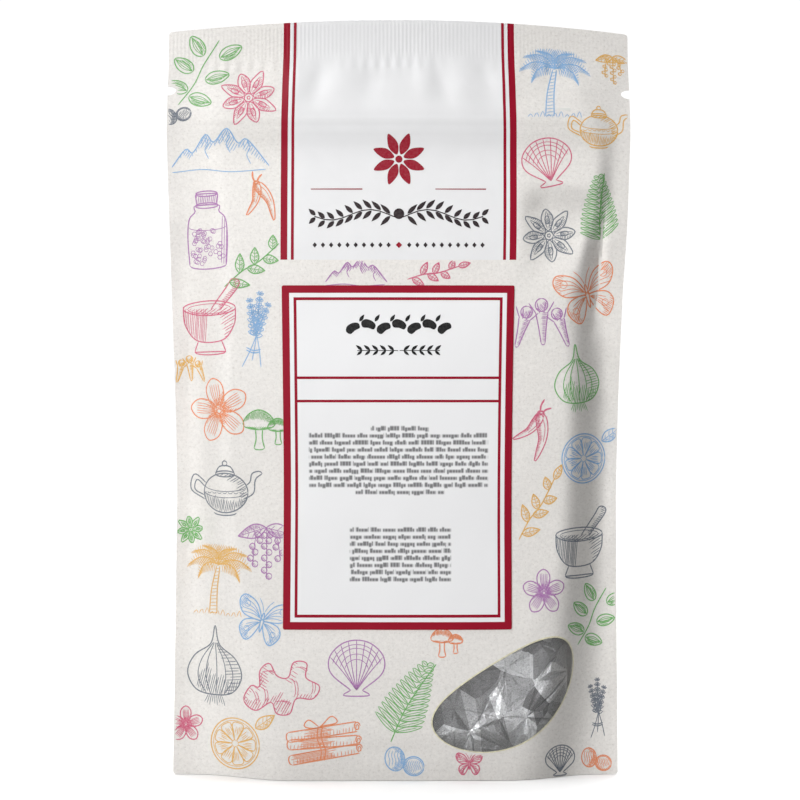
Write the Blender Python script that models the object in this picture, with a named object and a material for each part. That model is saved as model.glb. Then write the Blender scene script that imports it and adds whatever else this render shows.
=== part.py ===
"""Filled stand-up pouch with a round-bottom gusset, a press-to-close zip, a label and a window.

Metres, +Z up, front towards -Y, origin on the floor under the middle of the pouch.
Each film is cut out flat, in width s and height t, and then formed round the contents.
"""

import math

import bmesh
import bpy
import numpy as np
from mathutils import Vector
from mathutils.geometry import delaunay_2d_cdt

# Flat film
HALF_WIDTH = 0.065
HEIGHT = 0.210
SIDE_SEAL = 0.0055
FILM = 0.0004
GAP = 0.0003
CORNER_RADIUS = 0.0015

# Forming: depth of each panel from the middle plane, by height
DEPTH_BY_HEIGHT = (
    (0, 0.0118),
    (0.005, 0.0130),
    (0.012, 0.0142),
    (0.025, 0.0152),
    (0.045, 0.0156),
    (0.080, 0.0152),
    (0.105, 0.0140),
    (0.130, 0.0114),
    (0.150, 0.0084),
    (0.164, 0.0054),
    (0.174, 0.0032),
    (0.184, 0.0028),
    (0.190, 0.0017),
    (0.196, 0.0007),
    (0.202, 0.0001),
    (0.210, 0.0001),
)
# Power of the curve across each panel: the higher, the fuller it stays towards the side seal
LEFT_FULLNESS = (
    (0, 2.0),
    (0.012, 2.6),
    (0.030, 3.6),
    (0.060, 5.0),
    (0.110, 5.6),
    (0.150, 5.6),
    (0.166, 8.0),
    (0.175, 12.0),
    (0.210, 12.0),
)
RIGHT_FULLNESS = (
    (0, 2.1),
    (0.012, 2.2),
    (0.030, 2.8),
    (0.050, 3.8),
    (0.070, 5.0),
    (0.110, 5.6),
    (0.150, 5.6),
    (0.166, 8.0),
    (0.175, 12.0),
    (0.210, 12.0),
)
# Half widths of the formed pouch, by height
LEFT_HALF = (
    (0, 0.0633),
    (0.020, 0.0630),
    (0.050, 0.0625),
    (0.084, 0.0622),
    (0.100, 0.0625),
    (0.117, 0.0630),
    (0.134, 0.0636),
    (0.151, 0.0641),
    (0.168, 0.0646),
    (0.180, 0.0648),
    (0.192, 0.0645),
    (0.202, 0.0641),
    (0.210, 0.0640),
)
RIGHT_HALF = (
    (0, 0.0613),
    (0.020, 0.0612),
    (0.050, 0.0609),
    (0.084, 0.0609),
    (0.100, 0.0613),
    (0.117, 0.0619),
    (0.134, 0.0627),
    (0.151, 0.0638),
    (0.168, 0.0645),
    (0.180, 0.0648),
    (0.192, 0.0645),
    (0.202, 0.0641),
    (0.210, 0.0640),
)
# The top of the pouch bows towards the front, and less so at its sides
BOW_BY_HEIGHT = (
    (0, 0),
    (0.110, 0),
    (0.140, 0.0008),
    (0.165, 0.0026),
    (0.180, 0.0043),
    (0.195, 0.0062),
    (0.210, 0.0080),
)
BOW_AT_SIDE = 0.2
TOP_DROP_START = 0.180
LEFT_TOP_DROP = 0.0016
RIGHT_TOP_DROP = 0.0021

# Tear notches
NOTCH_DEPTH = 0.0024
NOTCH_HALF_HEIGHT = 0.0014
LEFT_NOTCH_HEIGHT = 0.1920
RIGHT_NOTCH_HEIGHT = 0.1912

# Window and its clear film
WINDOW_MIDDLE_S = 0.0314
WINDOW_MIDDLE_T = 0.0236
WINDOW_HALF_LENGTH = 0.0232
WINDOW_HALF_BREADTH = 0.0118
WINDOW_TILT = math.radians(30)
WINDOW_BEND = 0.0042
WINDOW_CORNERS = 40
PANE = 0.0002
PANE_MARGIN = 0.0016

# Label
LABEL_HALF_WIDTH = 0.033
LABEL_FOOT = 0.0419
LABEL_TOP = 0.1364
LABEL_THICKNESS = 0.0003

# Bottom gusset
GUSSET_HALF_WIDTH = 0.055
GUSSET_FILM = 0.0003
GUSSET_MIDDLE_SEAL = 0.0035
GUSSET_END_RISE = 0.013
GUSSET_SAG = 0.40
SKIRT_SHARES = (0.0, 0.5)
FLOOR_SHARES = (-1.0, -0.85, -0.65, -0.45, -0.2, 0.2, 0.45, 0.65, 0.85, 1.0)

# Zip: strips with a groove and a rib between them
ZIP_HALF_WIDTH = 0.048
ZIP_HEIGHT = 0.1812
ZIP_DEPTH = 0.0021
STRIP_HALF_HEIGHT = 0.0050
STRIP = 0.0003
GROOVE_OUTER = 0.0016
GROOVE_INNER = 0.0010
GROOVE_MOUTH = 0.0006
GROOVE_DEPTH = 0.0018
GROOVE_LIP = 0.0005
RIB_HALF_STEM = 0.0003
RIB_HALF_HEAD = 0.0007
RIB_TIP_GAP = 0.00025
RIB_HEAD = 0.00085

# Foil bag
BAG_HALF_WIDTH = 0.050
BAG_TOP = 0.163
BAG_CLEARANCE = 0.0014
BAG_FLOOR_CLEARANCE = 0.0012
BAG_RIM = 0.0004
BAG_CREASE = 0.0012
BAG_FOOT_ROUND = 0.014
BAG_TOP_ROUND = 0.012
BAG_SIDE_ROUND = 0.0125
BAG_COLUMNS = 16
BAG_ROWS = 22

# Mesh spacing: half of the columns, the rest mirrored, and the rows
HALF_COLUMNS = (0, 0.0075, 0.015, 0.0225, 0.030, 0.037, 0.0435, 0.049, 0.0535, 0.057, 0.0595, 0.0622)
LOW_ROWS = (0.004, 0.009, 0.016, 0.025, 0.035, 0.046, 0.058, 0.070, 0.082, 0.094, 0.106, 0.118)
HIGH_ROWS = (0.129, 0.139, 0.148, 0.156, 0.163, 0.169, 0.175, 0.180, 0.185, 0.190, 0.1945, 0.199, 0.2045)
ROWS = LOW_ROWS + HIGH_ROWS
PANEL_CLEARANCE = 0.0014
PATCH_CLEARANCE = 0.0020
MERGE_DISTANCE = 1e-7
SHARP_ANGLE = math.radians(40)

# Base colour, metallic, roughness and alpha
COLOURS = {
    "printed_film": ((0.80, 0.78, 0.74, 1.0), 0.0, 0.45, 1.0),
    "clear_film": ((0.90, 0.92, 0.92, 1.0), 0.0, 0.12, 0.35),
    "zip_plastic": ((0.86, 0.86, 0.84, 1.0), 0.0, 0.35, 1.0),
    "foil": ((0.75, 0.76, 0.77, 1.0), 1.0, 0.25, 1.0),
    "label_paper": ((0.83, 0.83, 0.83, 1.0), 0.0, 0.50, 1.0),
}


def clear_scene():
    for item in list(bpy.data.objects):
        bpy.data.objects.remove(item, do_unlink=True)


def smooth_table(table, t):
    """Value at height t on the smooth curve through a table of heights and values."""
    heights, values = np.asarray(table, float).T
    slopes = np.gradient(values, heights)
    t = np.clip(t, heights[0], heights[-1])
    low = np.clip(np.searchsorted(heights, t, side="right") - 1, 0, len(heights) - 2)
    span = heights[low + 1] - heights[low]
    w = (t - heights[low]) / span
    start = values[low] * (1 + 2 * w) * (1 - w) ** 2 + slopes[low] * span * w * (1 - w) ** 2
    end = values[low + 1] * w * w * (3 - 2 * w) + slopes[low + 1] * span * w * w * (w - 1)
    return start + end


def smooth_step(x):
    x = np.clip(x, 0, 1)
    return x * x * (3 - 2 * x)


def inner_depth(s, t):
    """Distance of a panel's inner face from the middle plane."""
    across = np.clip(np.abs(s) / (HALF_WIDTH - SIDE_SEAL), 0, 1)
    fullness = np.where(s < 0, smooth_table(LEFT_FULLNESS, t), smooth_table(RIGHT_FULLNESS, t))
    return GAP / 2 + smooth_table(DEPTH_BY_HEIGHT, t) * (1 - across**fullness)


def formed(s, depth, t):
    """Where a point of the flat pouch ends up; depth is measured backwards from the middle plane."""
    across = s / HALF_WIDTH
    x = across * np.where(s < 0, smooth_table(LEFT_HALF, t), smooth_table(RIGHT_HALF, t))
    bow = smooth_table(BOW_BY_HEIGHT, t) * (1 - (1 - BOW_AT_SIDE) * across**2)
    drop = np.where(s < 0, LEFT_TOP_DROP, RIGHT_TOP_DROP) * across**2
    z = t - drop * smooth_step((t - TOP_DROP_START) / (HEIGHT - TOP_DROP_START))
    return np.stack(np.broadcast_arrays(x, depth - bow, z), axis=-1)


def material_named(name):
    """The material of a slot, made the first time it is asked for."""
    found = bpy.data.materials.get(name)
    if found:
        return found
    made = bpy.data.materials.new(name)
    made.use_nodes = True
    colour, metallic, roughness, alpha = COLOURS[name]
    shader = made.node_tree.nodes["Principled BSDF"]
    shader.inputs["Base Color"].default_value = colour
    shader.inputs["Metallic"].default_value = metallic
    shader.inputs["Roughness"].default_value = roughness
    shader.inputs["Alpha"].default_value = alpha
    return made


def add_object(name, shape, slot, smooth=True):
    """The closed body of a bmesh, with the material of its slot."""
    bmesh.ops.recalc_face_normals(shape, faces=shape.faces)
    if shape.calc_volume(signed=True) < 0:
        bmesh.ops.reverse_faces(shape, faces=shape.faces)
    for face in shape.faces:
        face.smooth = smooth
    for edge in shape.edges:
        edge.smooth = edge.calc_face_angle(0) < SHARP_ANGLE
    mesh = bpy.data.meshes.new(name)
    shape.to_mesh(mesh)
    shape.free()
    mesh.materials.append(material_named(slot))
    item = bpy.data.objects.new(name, mesh)
    bpy.context.scene.collection.objects.link(item)


def thicken(shape, near, far):
    """Extrudes a flat sheet to a closed body and forms it: near and far give the places of both faces.

    Both take arrays of the flat sheet's x and y and return places.
    """
    front = list(shape.verts)
    made = bmesh.ops.extrude_face_region(shape, geom=list(shape.faces))
    back = [item for item in made["geom"] if isinstance(item, bmesh.types.BMVert)]
    for verts, place in ((front, near), (back, far)):
        flat = np.array([vert.co[:2] for vert in verts])
        for vert, point in zip(verts, place(flat[:, 0], flat[:, 1])):
            vert.co = point


def mesh_columns(half_width):
    """Column positions within a half width, from left to right."""
    half = [s for s in HALF_COLUMNS if 0 < s < half_width]
    return [-s for s in reversed(half)] + [0.0] + half


def full_columns(half_width):
    """The same with a column at each end."""
    return [-half_width] + mesh_columns(half_width) + [half_width]


def inside(points, loop):
    """Which points lie inside a closed loop, by counting crossings."""
    x, y = points[:, 0], points[:, 1]
    found = np.zeros(len(points), bool)
    previous = loop[-1]
    for corner in loop:
        if corner[1] != previous[1]:
            crosses = (corner[1] > y) != (previous[1] > y)
            at = previous[0] + (y - previous[1]) * (corner[0] - previous[0]) / (corner[1] - previous[1])
            found ^= crosses & (x < at)
        previous = corner
    return found


def nearest(points, loop):
    """Distance from each point to the closest corner of a loop."""
    return np.linalg.norm(points[:, None] - np.asarray(loop)[None], axis=2).min(axis=1)


def flat_sheet(outline, hole, clearance):
    """A flat triangulated sheet with this outline and hole, with mesh points clear of both."""
    grid = np.array([(s, t) for t in ROWS for s in mesh_columns(HALF_WIDTH)])
    keep = inside(grid, outline) & (nearest(grid, outline) > clearance)
    if hole:
        keep &= ~inside(grid, hole) & (nearest(grid, hole) > clearance)
    first = len(outline)
    edges = [(i, (i + 1) % first) for i in range(first)]
    edges += [(first + i, first + (i + 1) % len(hole)) for i in range(len(hole))]
    corners = [Vector(point) for point in outline + hole + grid[keep].tolist()]
    found = delaunay_2d_cdt(corners, edges, [], 0, MERGE_DISTANCE)
    sheet = bmesh.new()
    verts = [sheet.verts.new((*point, 0)) for point in found[0]]
    for face in found[2]:
        sheet.faces.new([verts[i] for i in face])
    centres = np.array([face.calc_center_median()[:2] for face in sheet.faces])
    waste = ~inside(centres, outline)
    if hole:
        waste |= inside(centres, hole)
    unwanted = [face for face, cut in zip(sheet.faces, waste) if cut]
    bmesh.ops.delete(sheet, geom=unwanted, context="FACES")
    return sheet


def add_film(name, sheet, near, thickness, slot):
    """A film formed from its flat sheet: near gives the depth of its front face."""
    thicken(
        sheet,
        lambda s, t: formed(s, near(s, t), t),
        lambda s, t: formed(s, near(s, t) + thickness, t),
    )
    add_object(name, sheet, slot)


def notch_points(side, height):
    """Corners of a round-ended tear notch in the right edge or, with side -1, in the left one."""
    turns = [math.radians(angle) for angle in (-90, -50, 0, 50, 90)]
    return [
        (side * (HALF_WIDTH - NOTCH_DEPTH * math.cos(turn)), height + NOTCH_HALF_HEIGHT * math.sin(turn))
        for turn in turns
    ]


def side_points(side, notch_height):
    """One edge of the flat panel from its foot to its top, with rounded corners and a notch."""
    trim = CORNER_RADIUS * (1 - math.cos(math.radians(45)))
    edge = side * HALF_WIDTH
    inset = side * (HALF_WIDTH - CORNER_RADIUS)
    low = [(inset, 0.0), (edge - side * trim, trim), (edge, CORNER_RADIUS)]
    straight = [(edge, t) for t in ROWS if abs(t - notch_height) > 2 * NOTCH_HALF_HEIGHT]
    middle = sorted(straight + notch_points(side, notch_height), key=lambda point: point[1])
    high = [(edge, HEIGHT - CORNER_RADIUS), (edge - side * trim, HEIGHT - trim), (inset, HEIGHT)]
    return low + middle + high


def pouch_outline():
    """The flat panel, anticlockwise from its lower left corner."""
    columns = mesh_columns(HALF_WIDTH)
    foot = [(s, 0.0) for s in columns]
    top = [(s, HEIGHT) for s in reversed(columns)]
    left = side_points(-1, LEFT_NOTCH_HEIGHT)
    return foot + side_points(1, RIGHT_NOTCH_HEIGHT) + top + left[::-1]


def window_outline(margin=0.0):
    """A plump bent leaf, widened by a margin all round."""
    loop = []
    for i in range(WINDOW_CORNERS):
        turn = 2 * math.pi * i / WINDOW_CORNERS
        along = (WINDOW_HALF_LENGTH + margin) * math.cos(turn)
        bend = WINDOW_BEND * ((along / WINDOW_HALF_LENGTH) ** 2 - 0.5)
        across = (WINDOW_HALF_BREADTH + margin) * math.sin(turn) + bend
        s = WINDOW_MIDDLE_S + along * math.cos(WINDOW_TILT) - across * math.sin(WINDOW_TILT)
        t = WINDOW_MIDDLE_T + along * math.sin(WINDOW_TILT) + across * math.cos(WINDOW_TILT)
        loop.append((s, t))
    return loop


def add_panels():
    """Front panel with the window cut out, and plain back panel."""
    front = flat_sheet(pouch_outline(), window_outline(), PANEL_CLEARANCE)
    add_film("front_panel", front, lambda s, t: -inner_depth(s, t) - FILM, FILM, "printed_film")
    back = flat_sheet(pouch_outline(), [], PANEL_CLEARANCE)
    add_film("back_panel", back, inner_depth, FILM, "printed_film")


def add_window_pane():
    """Clear film bonded behind the window."""
    sheet = flat_sheet(window_outline(PANE_MARGIN), [], PATCH_CLEARANCE)
    add_film("window_pane", sheet, lambda s, t: GAP - inner_depth(s, t), PANE, "clear_film")


def add_label():
    """Self-adhesive label on the front panel."""
    columns = full_columns(LABEL_HALF_WIDTH)
    rows = [t for t in ROWS if LABEL_FOOT < t < LABEL_TOP]
    outline = [(s, LABEL_FOOT) for s in columns]
    outline += [(LABEL_HALF_WIDTH, t) for t in rows]
    outline += [(s, LABEL_TOP) for s in reversed(columns)]
    outline += [(-LABEL_HALF_WIDTH, t) for t in reversed(rows)]
    sheet = flat_sheet(outline, [], PATCH_CLEARANCE)
    lift = FILM + GAP + LABEL_THICKNESS
    add_film("front_label", sheet, lambda s, t: -inner_depth(s, t) - lift, LABEL_THICKNESS, "label_paper")


def seal_height(s):
    """Height of the curved seal between the gusset and the panels."""
    return GUSSET_MIDDLE_SEAL + GUSSET_END_RISE * (np.abs(s) / GUSSET_HALF_WIDTH) ** 6


def gusset_section(s):
    """Upper and lower face of the gusset film at one width, as depths and heights from front to back."""
    seal = seal_height(s)
    half = inner_depth(s, seal) - GAP
    upper = []
    lower = []
    for share in FLOOR_SHARES:
        sag = GUSSET_SAG * half * (1 - share * share)
        low = max(0.0, seal - 2 * GUSSET_FILM - sag)
        rise = 2 * GUSSET_FILM if abs(share) == 1 else 1.2 * GUSSET_FILM
        lower.append((share * (half - 1.5 * GUSSET_FILM), low))
        upper.append((share * half, low + rise))
    skirt = [(inner_depth(s, share * seal) - GAP, share * seal) for share in SKIRT_SHARES]
    front_upper = [(-depth, t) for depth, t in skirt]
    front_lower = [(GUSSET_FILM - depth, t) for depth, t in skirt]
    back_upper = [(depth, t) for depth, t in reversed(skirt)]
    back_lower = [(depth - GUSSET_FILM, t) for depth, t in reversed(skirt)]
    return front_upper + upper + back_upper, front_lower + lower + back_lower


def add_gusset():
    """Bottom film: sealed up the inside of both panels and opened out to a boat shape."""
    columns = full_columns(GUSSET_HALF_WIDTH)
    sections = [gusset_section(s) for s in columns]
    steps = len(sections[0][0])
    sheet = bmesh.new()
    bmesh.ops.create_grid(sheet, x_segments=len(columns) - 1, y_segments=steps - 1, size=1)

    def place(face):
        points = np.array([[(s, *point) for point in pair[face]] for s, pair in zip(columns, sections)])

        def placed(x, y):
            column = np.rint((x + 1) / 2 * (len(columns) - 1)).astype(int)
            step = np.rint((y + 1) / 2 * (steps - 1)).astype(int)
            s, depth, t = points[column, step].T
            return formed(s, depth, t)

        return placed

    thicken(sheet, place(0), place(1))
    add_object("bottom_gusset", sheet, "printed_film")


def add_profile(name, section):
    """A zip strip with one cross-section, extruded across the bowed width of the pouch."""
    columns = full_columns(ZIP_HALF_WIDTH)
    depth, t = np.array([(depth, ZIP_HEIGHT + rise) for depth, rise in section]).T
    strip = bmesh.new()
    first = [strip.verts.new(point) for point in formed(np.full(len(section), columns[0]), depth, t)]
    end = strip.faces.new(first)
    for start, s in zip(columns, columns[1:]):
        here = formed(np.full(len(section), start), depth, t)
        there = formed(np.full(len(section), s), depth, t)
        made = bmesh.ops.extrude_face_region(strip, geom=[end] + list(end.edges))["geom"]
        end = next(item for item in made if isinstance(item, bmesh.types.BMFace))
        for vert in end.verts:
            nearest_point = np.linalg.norm(here - np.array(vert.co), axis=1).argmin()
            vert.co = there[nearest_point]
    add_object(name, strip, "zip_plastic", smooth=False)


def add_zip():
    """Groove strip behind the front panel and rib strip before the back panel, pressed together."""
    base = STRIP - ZIP_DEPTH
    lip = base + GROOVE_DEPTH
    groove_half = [
        (-ZIP_DEPTH, STRIP_HALF_HEIGHT),
        (base, STRIP_HALF_HEIGHT),
        (base, GROOVE_OUTER),
        (lip, GROOVE_OUTER),
        (lip, GROOVE_MOUTH),
        (lip - GROOVE_LIP, GROOVE_MOUTH),
        (lip - GROOVE_LIP, GROOVE_INNER),
        (base, GROOVE_INNER),
    ]
    face = ZIP_DEPTH - STRIP
    tip = base + RIB_TIP_GAP
    shoulder = tip + RIB_HEAD
    rib_half = [
        (ZIP_DEPTH, STRIP_HALF_HEIGHT),
        (face, STRIP_HALF_HEIGHT),
        (face, RIB_HALF_STEM),
        (shoulder, RIB_HALF_STEM),
        (shoulder, RIB_HALF_HEAD),
        (tip, RIB_HALF_STEM),
    ]
    for name, half in (("zip_groove", groove_half), ("zip_rib", rib_half)):
        lower = [(depth, -rise) for depth, rise in reversed(half)]
        add_profile(name, half + lower)


def fold(x):
    """A zigzag between 0 and 1."""
    return np.abs((x % 1.0) * 2 - 1)


def crease_depth(s, t):
    """How far the foil is creased in, as sharp folds running several ways; s and t in millimetres."""
    found = 0.4 * fold(s / 17 + t / 29 + 0.35 * fold(t / 19))
    found = found + 0.3 * fold(t / 14 - s / 31 + 0.2)
    found = found + 0.3 * fold((s + t) / 23 + 0.3 * fold(s / 11))
    return BAG_CREASE * found


def rounded_rise(x):
    """A quarter circle from 0 to 1, then level."""
    x = np.clip(x, 0, 1)
    return np.sqrt(x * (2 - x))


def bag_depth(s, t, foot):
    """Half thickness of the foil bag, which fills the pouch but for a clearance and its creases."""
    swell = rounded_rise((t - foot) / BAG_FOOT_ROUND) * rounded_rise((BAG_TOP - t) / BAG_TOP_ROUND)
    swell = swell * rounded_rise((BAG_HALF_WIDTH - np.abs(s)) / BAG_SIDE_ROUND)
    room = inner_depth(s, t) - BAG_CLEARANCE - crease_depth(s * 1000, t * 1000)
    return BAG_RIM / 2 + np.maximum(0, room) * swell


def add_foil_bag():
    """Closed foil bag that holds the contents and is seen through the window."""
    sheet = bmesh.new()
    bmesh.ops.create_grid(sheet, x_segments=BAG_COLUMNS, y_segments=BAG_ROWS, size=1)

    def place(side):
        def placed(x, y):
            s = BAG_HALF_WIDTH * x
            seal = seal_height(s)
            sag = GUSSET_SAG * (inner_depth(s, seal) - GAP)
            foot = np.maximum(0, seal - 2 * GUSSET_FILM - sag) + BAG_FLOOR_CLEARANCE
            t = foot + (BAG_TOP - foot) * (y + 1) / 2
            return formed(s, side * bag_depth(s, t, foot), t)

        return placed

    thicken(sheet, place(-1), place(1))
    bmesh.ops.triangulate(sheet, faces=sheet.faces)
    add_object("inner_foil_bag", sheet, "foil", smooth=False)


def main():
    clear_scene()
    add_panels()
    add_gusset()
    add_window_pane()
    add_label()
    add_zip()
    add_foil_bag()


main()
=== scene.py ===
"""Looks of a filled stand-up pouch: printed laminate, label, window, crumpled foil bag.

Every film is laid out flat, s millimetres across and t millimetres up, and then formed
round the contents. Ink is drawn on the flat film and formed with it.
"""

import math
import random

import bmesh
import bpy
import numpy as np
from mathutils.geometry import delaunay_2d_cdt
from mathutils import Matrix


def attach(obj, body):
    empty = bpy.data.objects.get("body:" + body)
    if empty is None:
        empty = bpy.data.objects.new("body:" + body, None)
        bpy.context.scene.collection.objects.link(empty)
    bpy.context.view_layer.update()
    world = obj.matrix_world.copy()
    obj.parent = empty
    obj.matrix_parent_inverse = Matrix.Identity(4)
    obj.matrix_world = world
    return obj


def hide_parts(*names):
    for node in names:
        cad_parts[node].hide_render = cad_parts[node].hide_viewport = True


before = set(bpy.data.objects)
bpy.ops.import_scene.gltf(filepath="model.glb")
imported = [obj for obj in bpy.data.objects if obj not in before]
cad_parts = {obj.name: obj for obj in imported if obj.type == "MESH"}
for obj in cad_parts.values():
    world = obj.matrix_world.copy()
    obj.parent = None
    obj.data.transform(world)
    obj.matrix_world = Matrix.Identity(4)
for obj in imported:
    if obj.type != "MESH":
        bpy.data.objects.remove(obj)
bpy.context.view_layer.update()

# Flat film, in millimetres
HALF_WIDTH = 65.0
HEIGHT = 210.0
FILM = 0.22
CORNER_RADIUS = 0.8
CELL = 0.95
RIM_CLEARANCE = 0.45
SEAL_CELL = 0.21
RIB_PITCH = 1.1
RIB_HEIGHT = 0.026
SEAL_FOOT = 197.0
NOTCH_DEPTH = 2.4
NOTCH_HALF_HEIGHT = 1.4
LEFT_NOTCH = 192.0
RIGHT_NOTCH = 191.2

# Forming: depth of each panel from the middle plane, by height
DEPTH = (
    (0, 11.8),
    (5, 13.0),
    (12, 14.2),
    (25, 15.2),
    (45, 15.6),
    (80, 15.2),
    (105, 14.0),
    (130, 11.4),
    (150, 8.4),
    (164, 5.4),
    (174, 3.2),
    (184, 2.8),
    (190, 1.7),
    (196, 0.6),
    (202, 0.02),
    (210, 0.02),
)
# Shape of the space between the panels: power of the section's curve, by height
LEFT_FULLNESS = (
    (0, 2.0),
    (12, 2.6),
    (30, 3.6),
    (60, 5.0),
    (110, 5.6),
    (150, 5.6),
    (166, 8),
    (175, 12),
    (210, 12),
)
RIGHT_FULLNESS = (
    (0, 2.1),
    (12, 2.2),
    (30, 2.8),
    (50, 3.8),
    (70, 5.0),
    (110, 5.6),
    (150, 5.6),
    (166, 8),
    (175, 12),
    (210, 12),
)
SPACE_HALF_WIDTH = 59.5
SPACE_SOFTNESS = 0.05
# Where the front panel falls back to the side seals: height, middle and breadth of the fall
LEFT_WALL = (
    (0, 45, 38),
    (10, 46.5, 35),
    (20, 48, 31),
    (45, 52, 23),
    (70, 54.2, 17),
    (150, 54.4, 17),
    (175, 56, 17),
    (210, 56.5, 17),
)
RIGHT_WALL = (
    (0, 47.5, 34),
    (10, 49.0, 32),
    (22, 51.0, 28),
    (35, 52.6, 24),
    (50, 53.6, 19.5),
    (80, 55.2, 17.0),
    (120, 54.7, 15.4),
    (132, 53.6, 14),
    (139, 54.1, 12.4),
    (146, 55.2, 10.2),
    (153, 56.7, 8.4),
    (160, 57.6, 8),
    (169, 58.2, 8),
    (177, 58.0, 9),
    (186, 57, 15),
    (210, 56.5, 17),
)
LEFT_DOME = 0.03
RIGHT_DOME = 0.20
# Half widths of the formed pouch, by height
LEFT_HALF = (
    (0, 63.3),
    (20, 63.0),
    (50, 62.5),
    (84, 62.2),
    (100, 62.5),
    (117, 63.0),
    (134, 63.6),
    (151, 64.1),
    (168, 64.6),
    (180, 64.8),
    (192, 64.5),
    (202, 64.1),
    (210, 64.0),
)
RIGHT_HALF = (
    (0, 61.3),
    (20, 61.2),
    (50, 60.9),
    (84, 60.9),
    (100, 61.3),
    (117, 61.9),
    (134, 62.7),
    (151, 63.8),
    (168, 64.5),
    (180, 64.8),
    (192, 64.5),
    (202, 64.1),
    (210, 64.0),
)
BOW = ((0, 0), (110, 0), (140, 0.8), (165, 2.6), (180, 4.3), (195, 6.2), (210, 8.0))
BOW_AT_LEFT = 0.5
BOW_AT_RIGHT = 0.05
TOP_DROP_START = 180.0
LEFT_TOP_DROP = 2.8
RIGHT_TOP_DROP = 2.9

# Window
WINDOW_MIDDLE = (31.4, 23.6)
WINDOW_HALF_LENGTH = 23.2
WINDOW_HALF_BREADTH = 11.8
WINDOW_TILT = math.radians(30)
WINDOW_BEND = 4.2
PANE_MARGIN = 1.6
PANE_GAP = 0.06
PANE = 0.08

# Print
BAND_HALF_WIDTH = 33.0
BAND_FOOT = 143.5
THICK_LINE = 1.9
LINE_GAP = 1.0
THIN_LINE = 0.82
INK_LIFT = 0.05
PRINT_MARGIN = 0.3
EMBLEM_HEIGHT = 171.6
GARLAND_HEIGHT = 156.0
LOZENGE_HEIGHT = 147.6
POD_ROW_HEIGHT = 125.0
SCROLL_HEIGHT = 118.4

# Small print: lengths of words and strokes, and how far each row is shifted along the last
WORD = 4.3
STROKE = 0.86
ROW_OFFSET = 61.7
LABEL_PRINT_PITCH = 1.934
BACK_PRINT_PITCH = 2.0
# Blocks of small print: left, right, foot and top
LABEL_PRINT = (
    (-8.0, 8.6, 95.95, 97.88),
    (-25.7, 26.0, 80.48, 95.95),
    (-12.5, 13.2, 78.55, 80.48),
    (-14.0, 15.2, 54.70, 70.17),
)
BACK_BOX_PRINT = (
    (-34.0, 34.0, 72.0, 110.0),
    (-34.0, 6.0, 52.0, 66.0),
)

# White box on the back
BACK_BOX_HALF_WIDTH = 40.0
BACK_BOX_FOOT = 46.0
BACK_BOX_TOP = 138.0
BACK_LINE_INSET = 1.2
BACK_LINE = 0.7
BACK_RULE_HALF_LENGTH = 38.4
BACK_RULE_FOOT = 116.0
BACK_RULE_TOP = 116.6

# Label
LABEL_HALF_WIDTH = 33.0
LABEL_FOOT = 41.9
LABEL_TOP = 136.4
LABEL_LIFT = 0.12
LABEL_THICKNESS = 0.12
BORDER = 2.1
BORDER_GAP = 1.2
UPPER_RULE = 110.9
LOWER_RULE = 104.5
RULE = 0.72

# Gusset
GUSSET_HALF_WIDTH = 57.0
GUSSET_MIDDLE_SEAL = 3.5
GUSSET_END_RISE = 14.0
GUSSET_SAG = 0.40
GUSSET_GAP = 0.06
GUSSET_FILM = 0.16
GUSSET_FLOOR = 0.8
GUSSET_SKIRT = 0.2

# Foil bag
BAG_HALF_WIDTH = 50.0
BAG_TOP = 163.0
BAG_CLEARANCE = 0.6
LARGE_FACET = 9.0
SMALL_FACET = 2.3


def light_of(red, green, blue):
    """A colour in linear light from its display values of 0 to 255."""
    found = []
    for value in (red, green, blue):
        value = value / 255
        found.append(value / 12.92 if value <= 0.04045 else ((value + 0.055) / 1.055) ** 2.4)
    return (*found, 1.0)


PAPER = light_of(232, 229, 225)
BAND_WHITE = light_of(229, 229, 230)
LABEL_WHITE = light_of(234, 234, 235)
CRIMSON = light_of(145, 9, 37)
INKS = {
    "ink_pink": light_of(205, 92, 124),
    "ink_green": light_of(104, 172, 92),
    "ink_blue": light_of(128, 172, 216),
    "ink_violet": light_of(168, 112, 172),
    "ink_orange": light_of(226, 134, 86),
    "ink_ochre": light_of(222, 172, 84),
    "ink_slate": light_of(104, 112, 124),
}


# Forming


def smooth_table(table, t):
    """Value at height t on the smooth curve through a table of heights and values."""
    heights, values = np.asarray(table, float).T
    slopes = np.gradient(values, heights)
    t = np.clip(t, heights[0], heights[-1])
    low = np.clip(np.searchsorted(heights, t, side="right") - 1, 0, len(heights) - 2)
    span = heights[low + 1] - heights[low]
    w = (t - heights[low]) / span
    start = values[low] * (1 + 2 * w) * (1 - w) ** 2 + slopes[low] * span * w * (1 - w) ** 2
    end = values[low + 1] * w * w * (3 - 2 * w) + slopes[low + 1] * span * w * w * (w - 1)
    return start + end


def smooth_step(x):
    """A share eased in and out between 0 and 1."""
    x = np.clip(x, 0, 1)
    return x * x * (3 - 2 * x)


def between(x, low, high, soft):
    """1 between two limits and 0 outside, with soft ends."""
    return smooth_step((x - low) / soft + 0.5) * smooth_step((high - x) / soft + 0.5)


def waves(s, t, seed, length, count=7):
    """Smooth uneven waves of about one height unit, the same each time."""
    choose = random.Random(seed)
    total = np.zeros(np.broadcast(s, t).shape)
    for _ in range(count):
        turn = choose.uniform(0, math.tau)
        size = length * choose.uniform(0.7, 1.6)
        phase = choose.uniform(0, math.tau)
        total = total + np.sin((s * math.cos(turn) + t * math.sin(turn)) * math.tau / size + phase)
    return total / math.sqrt(count)


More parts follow.
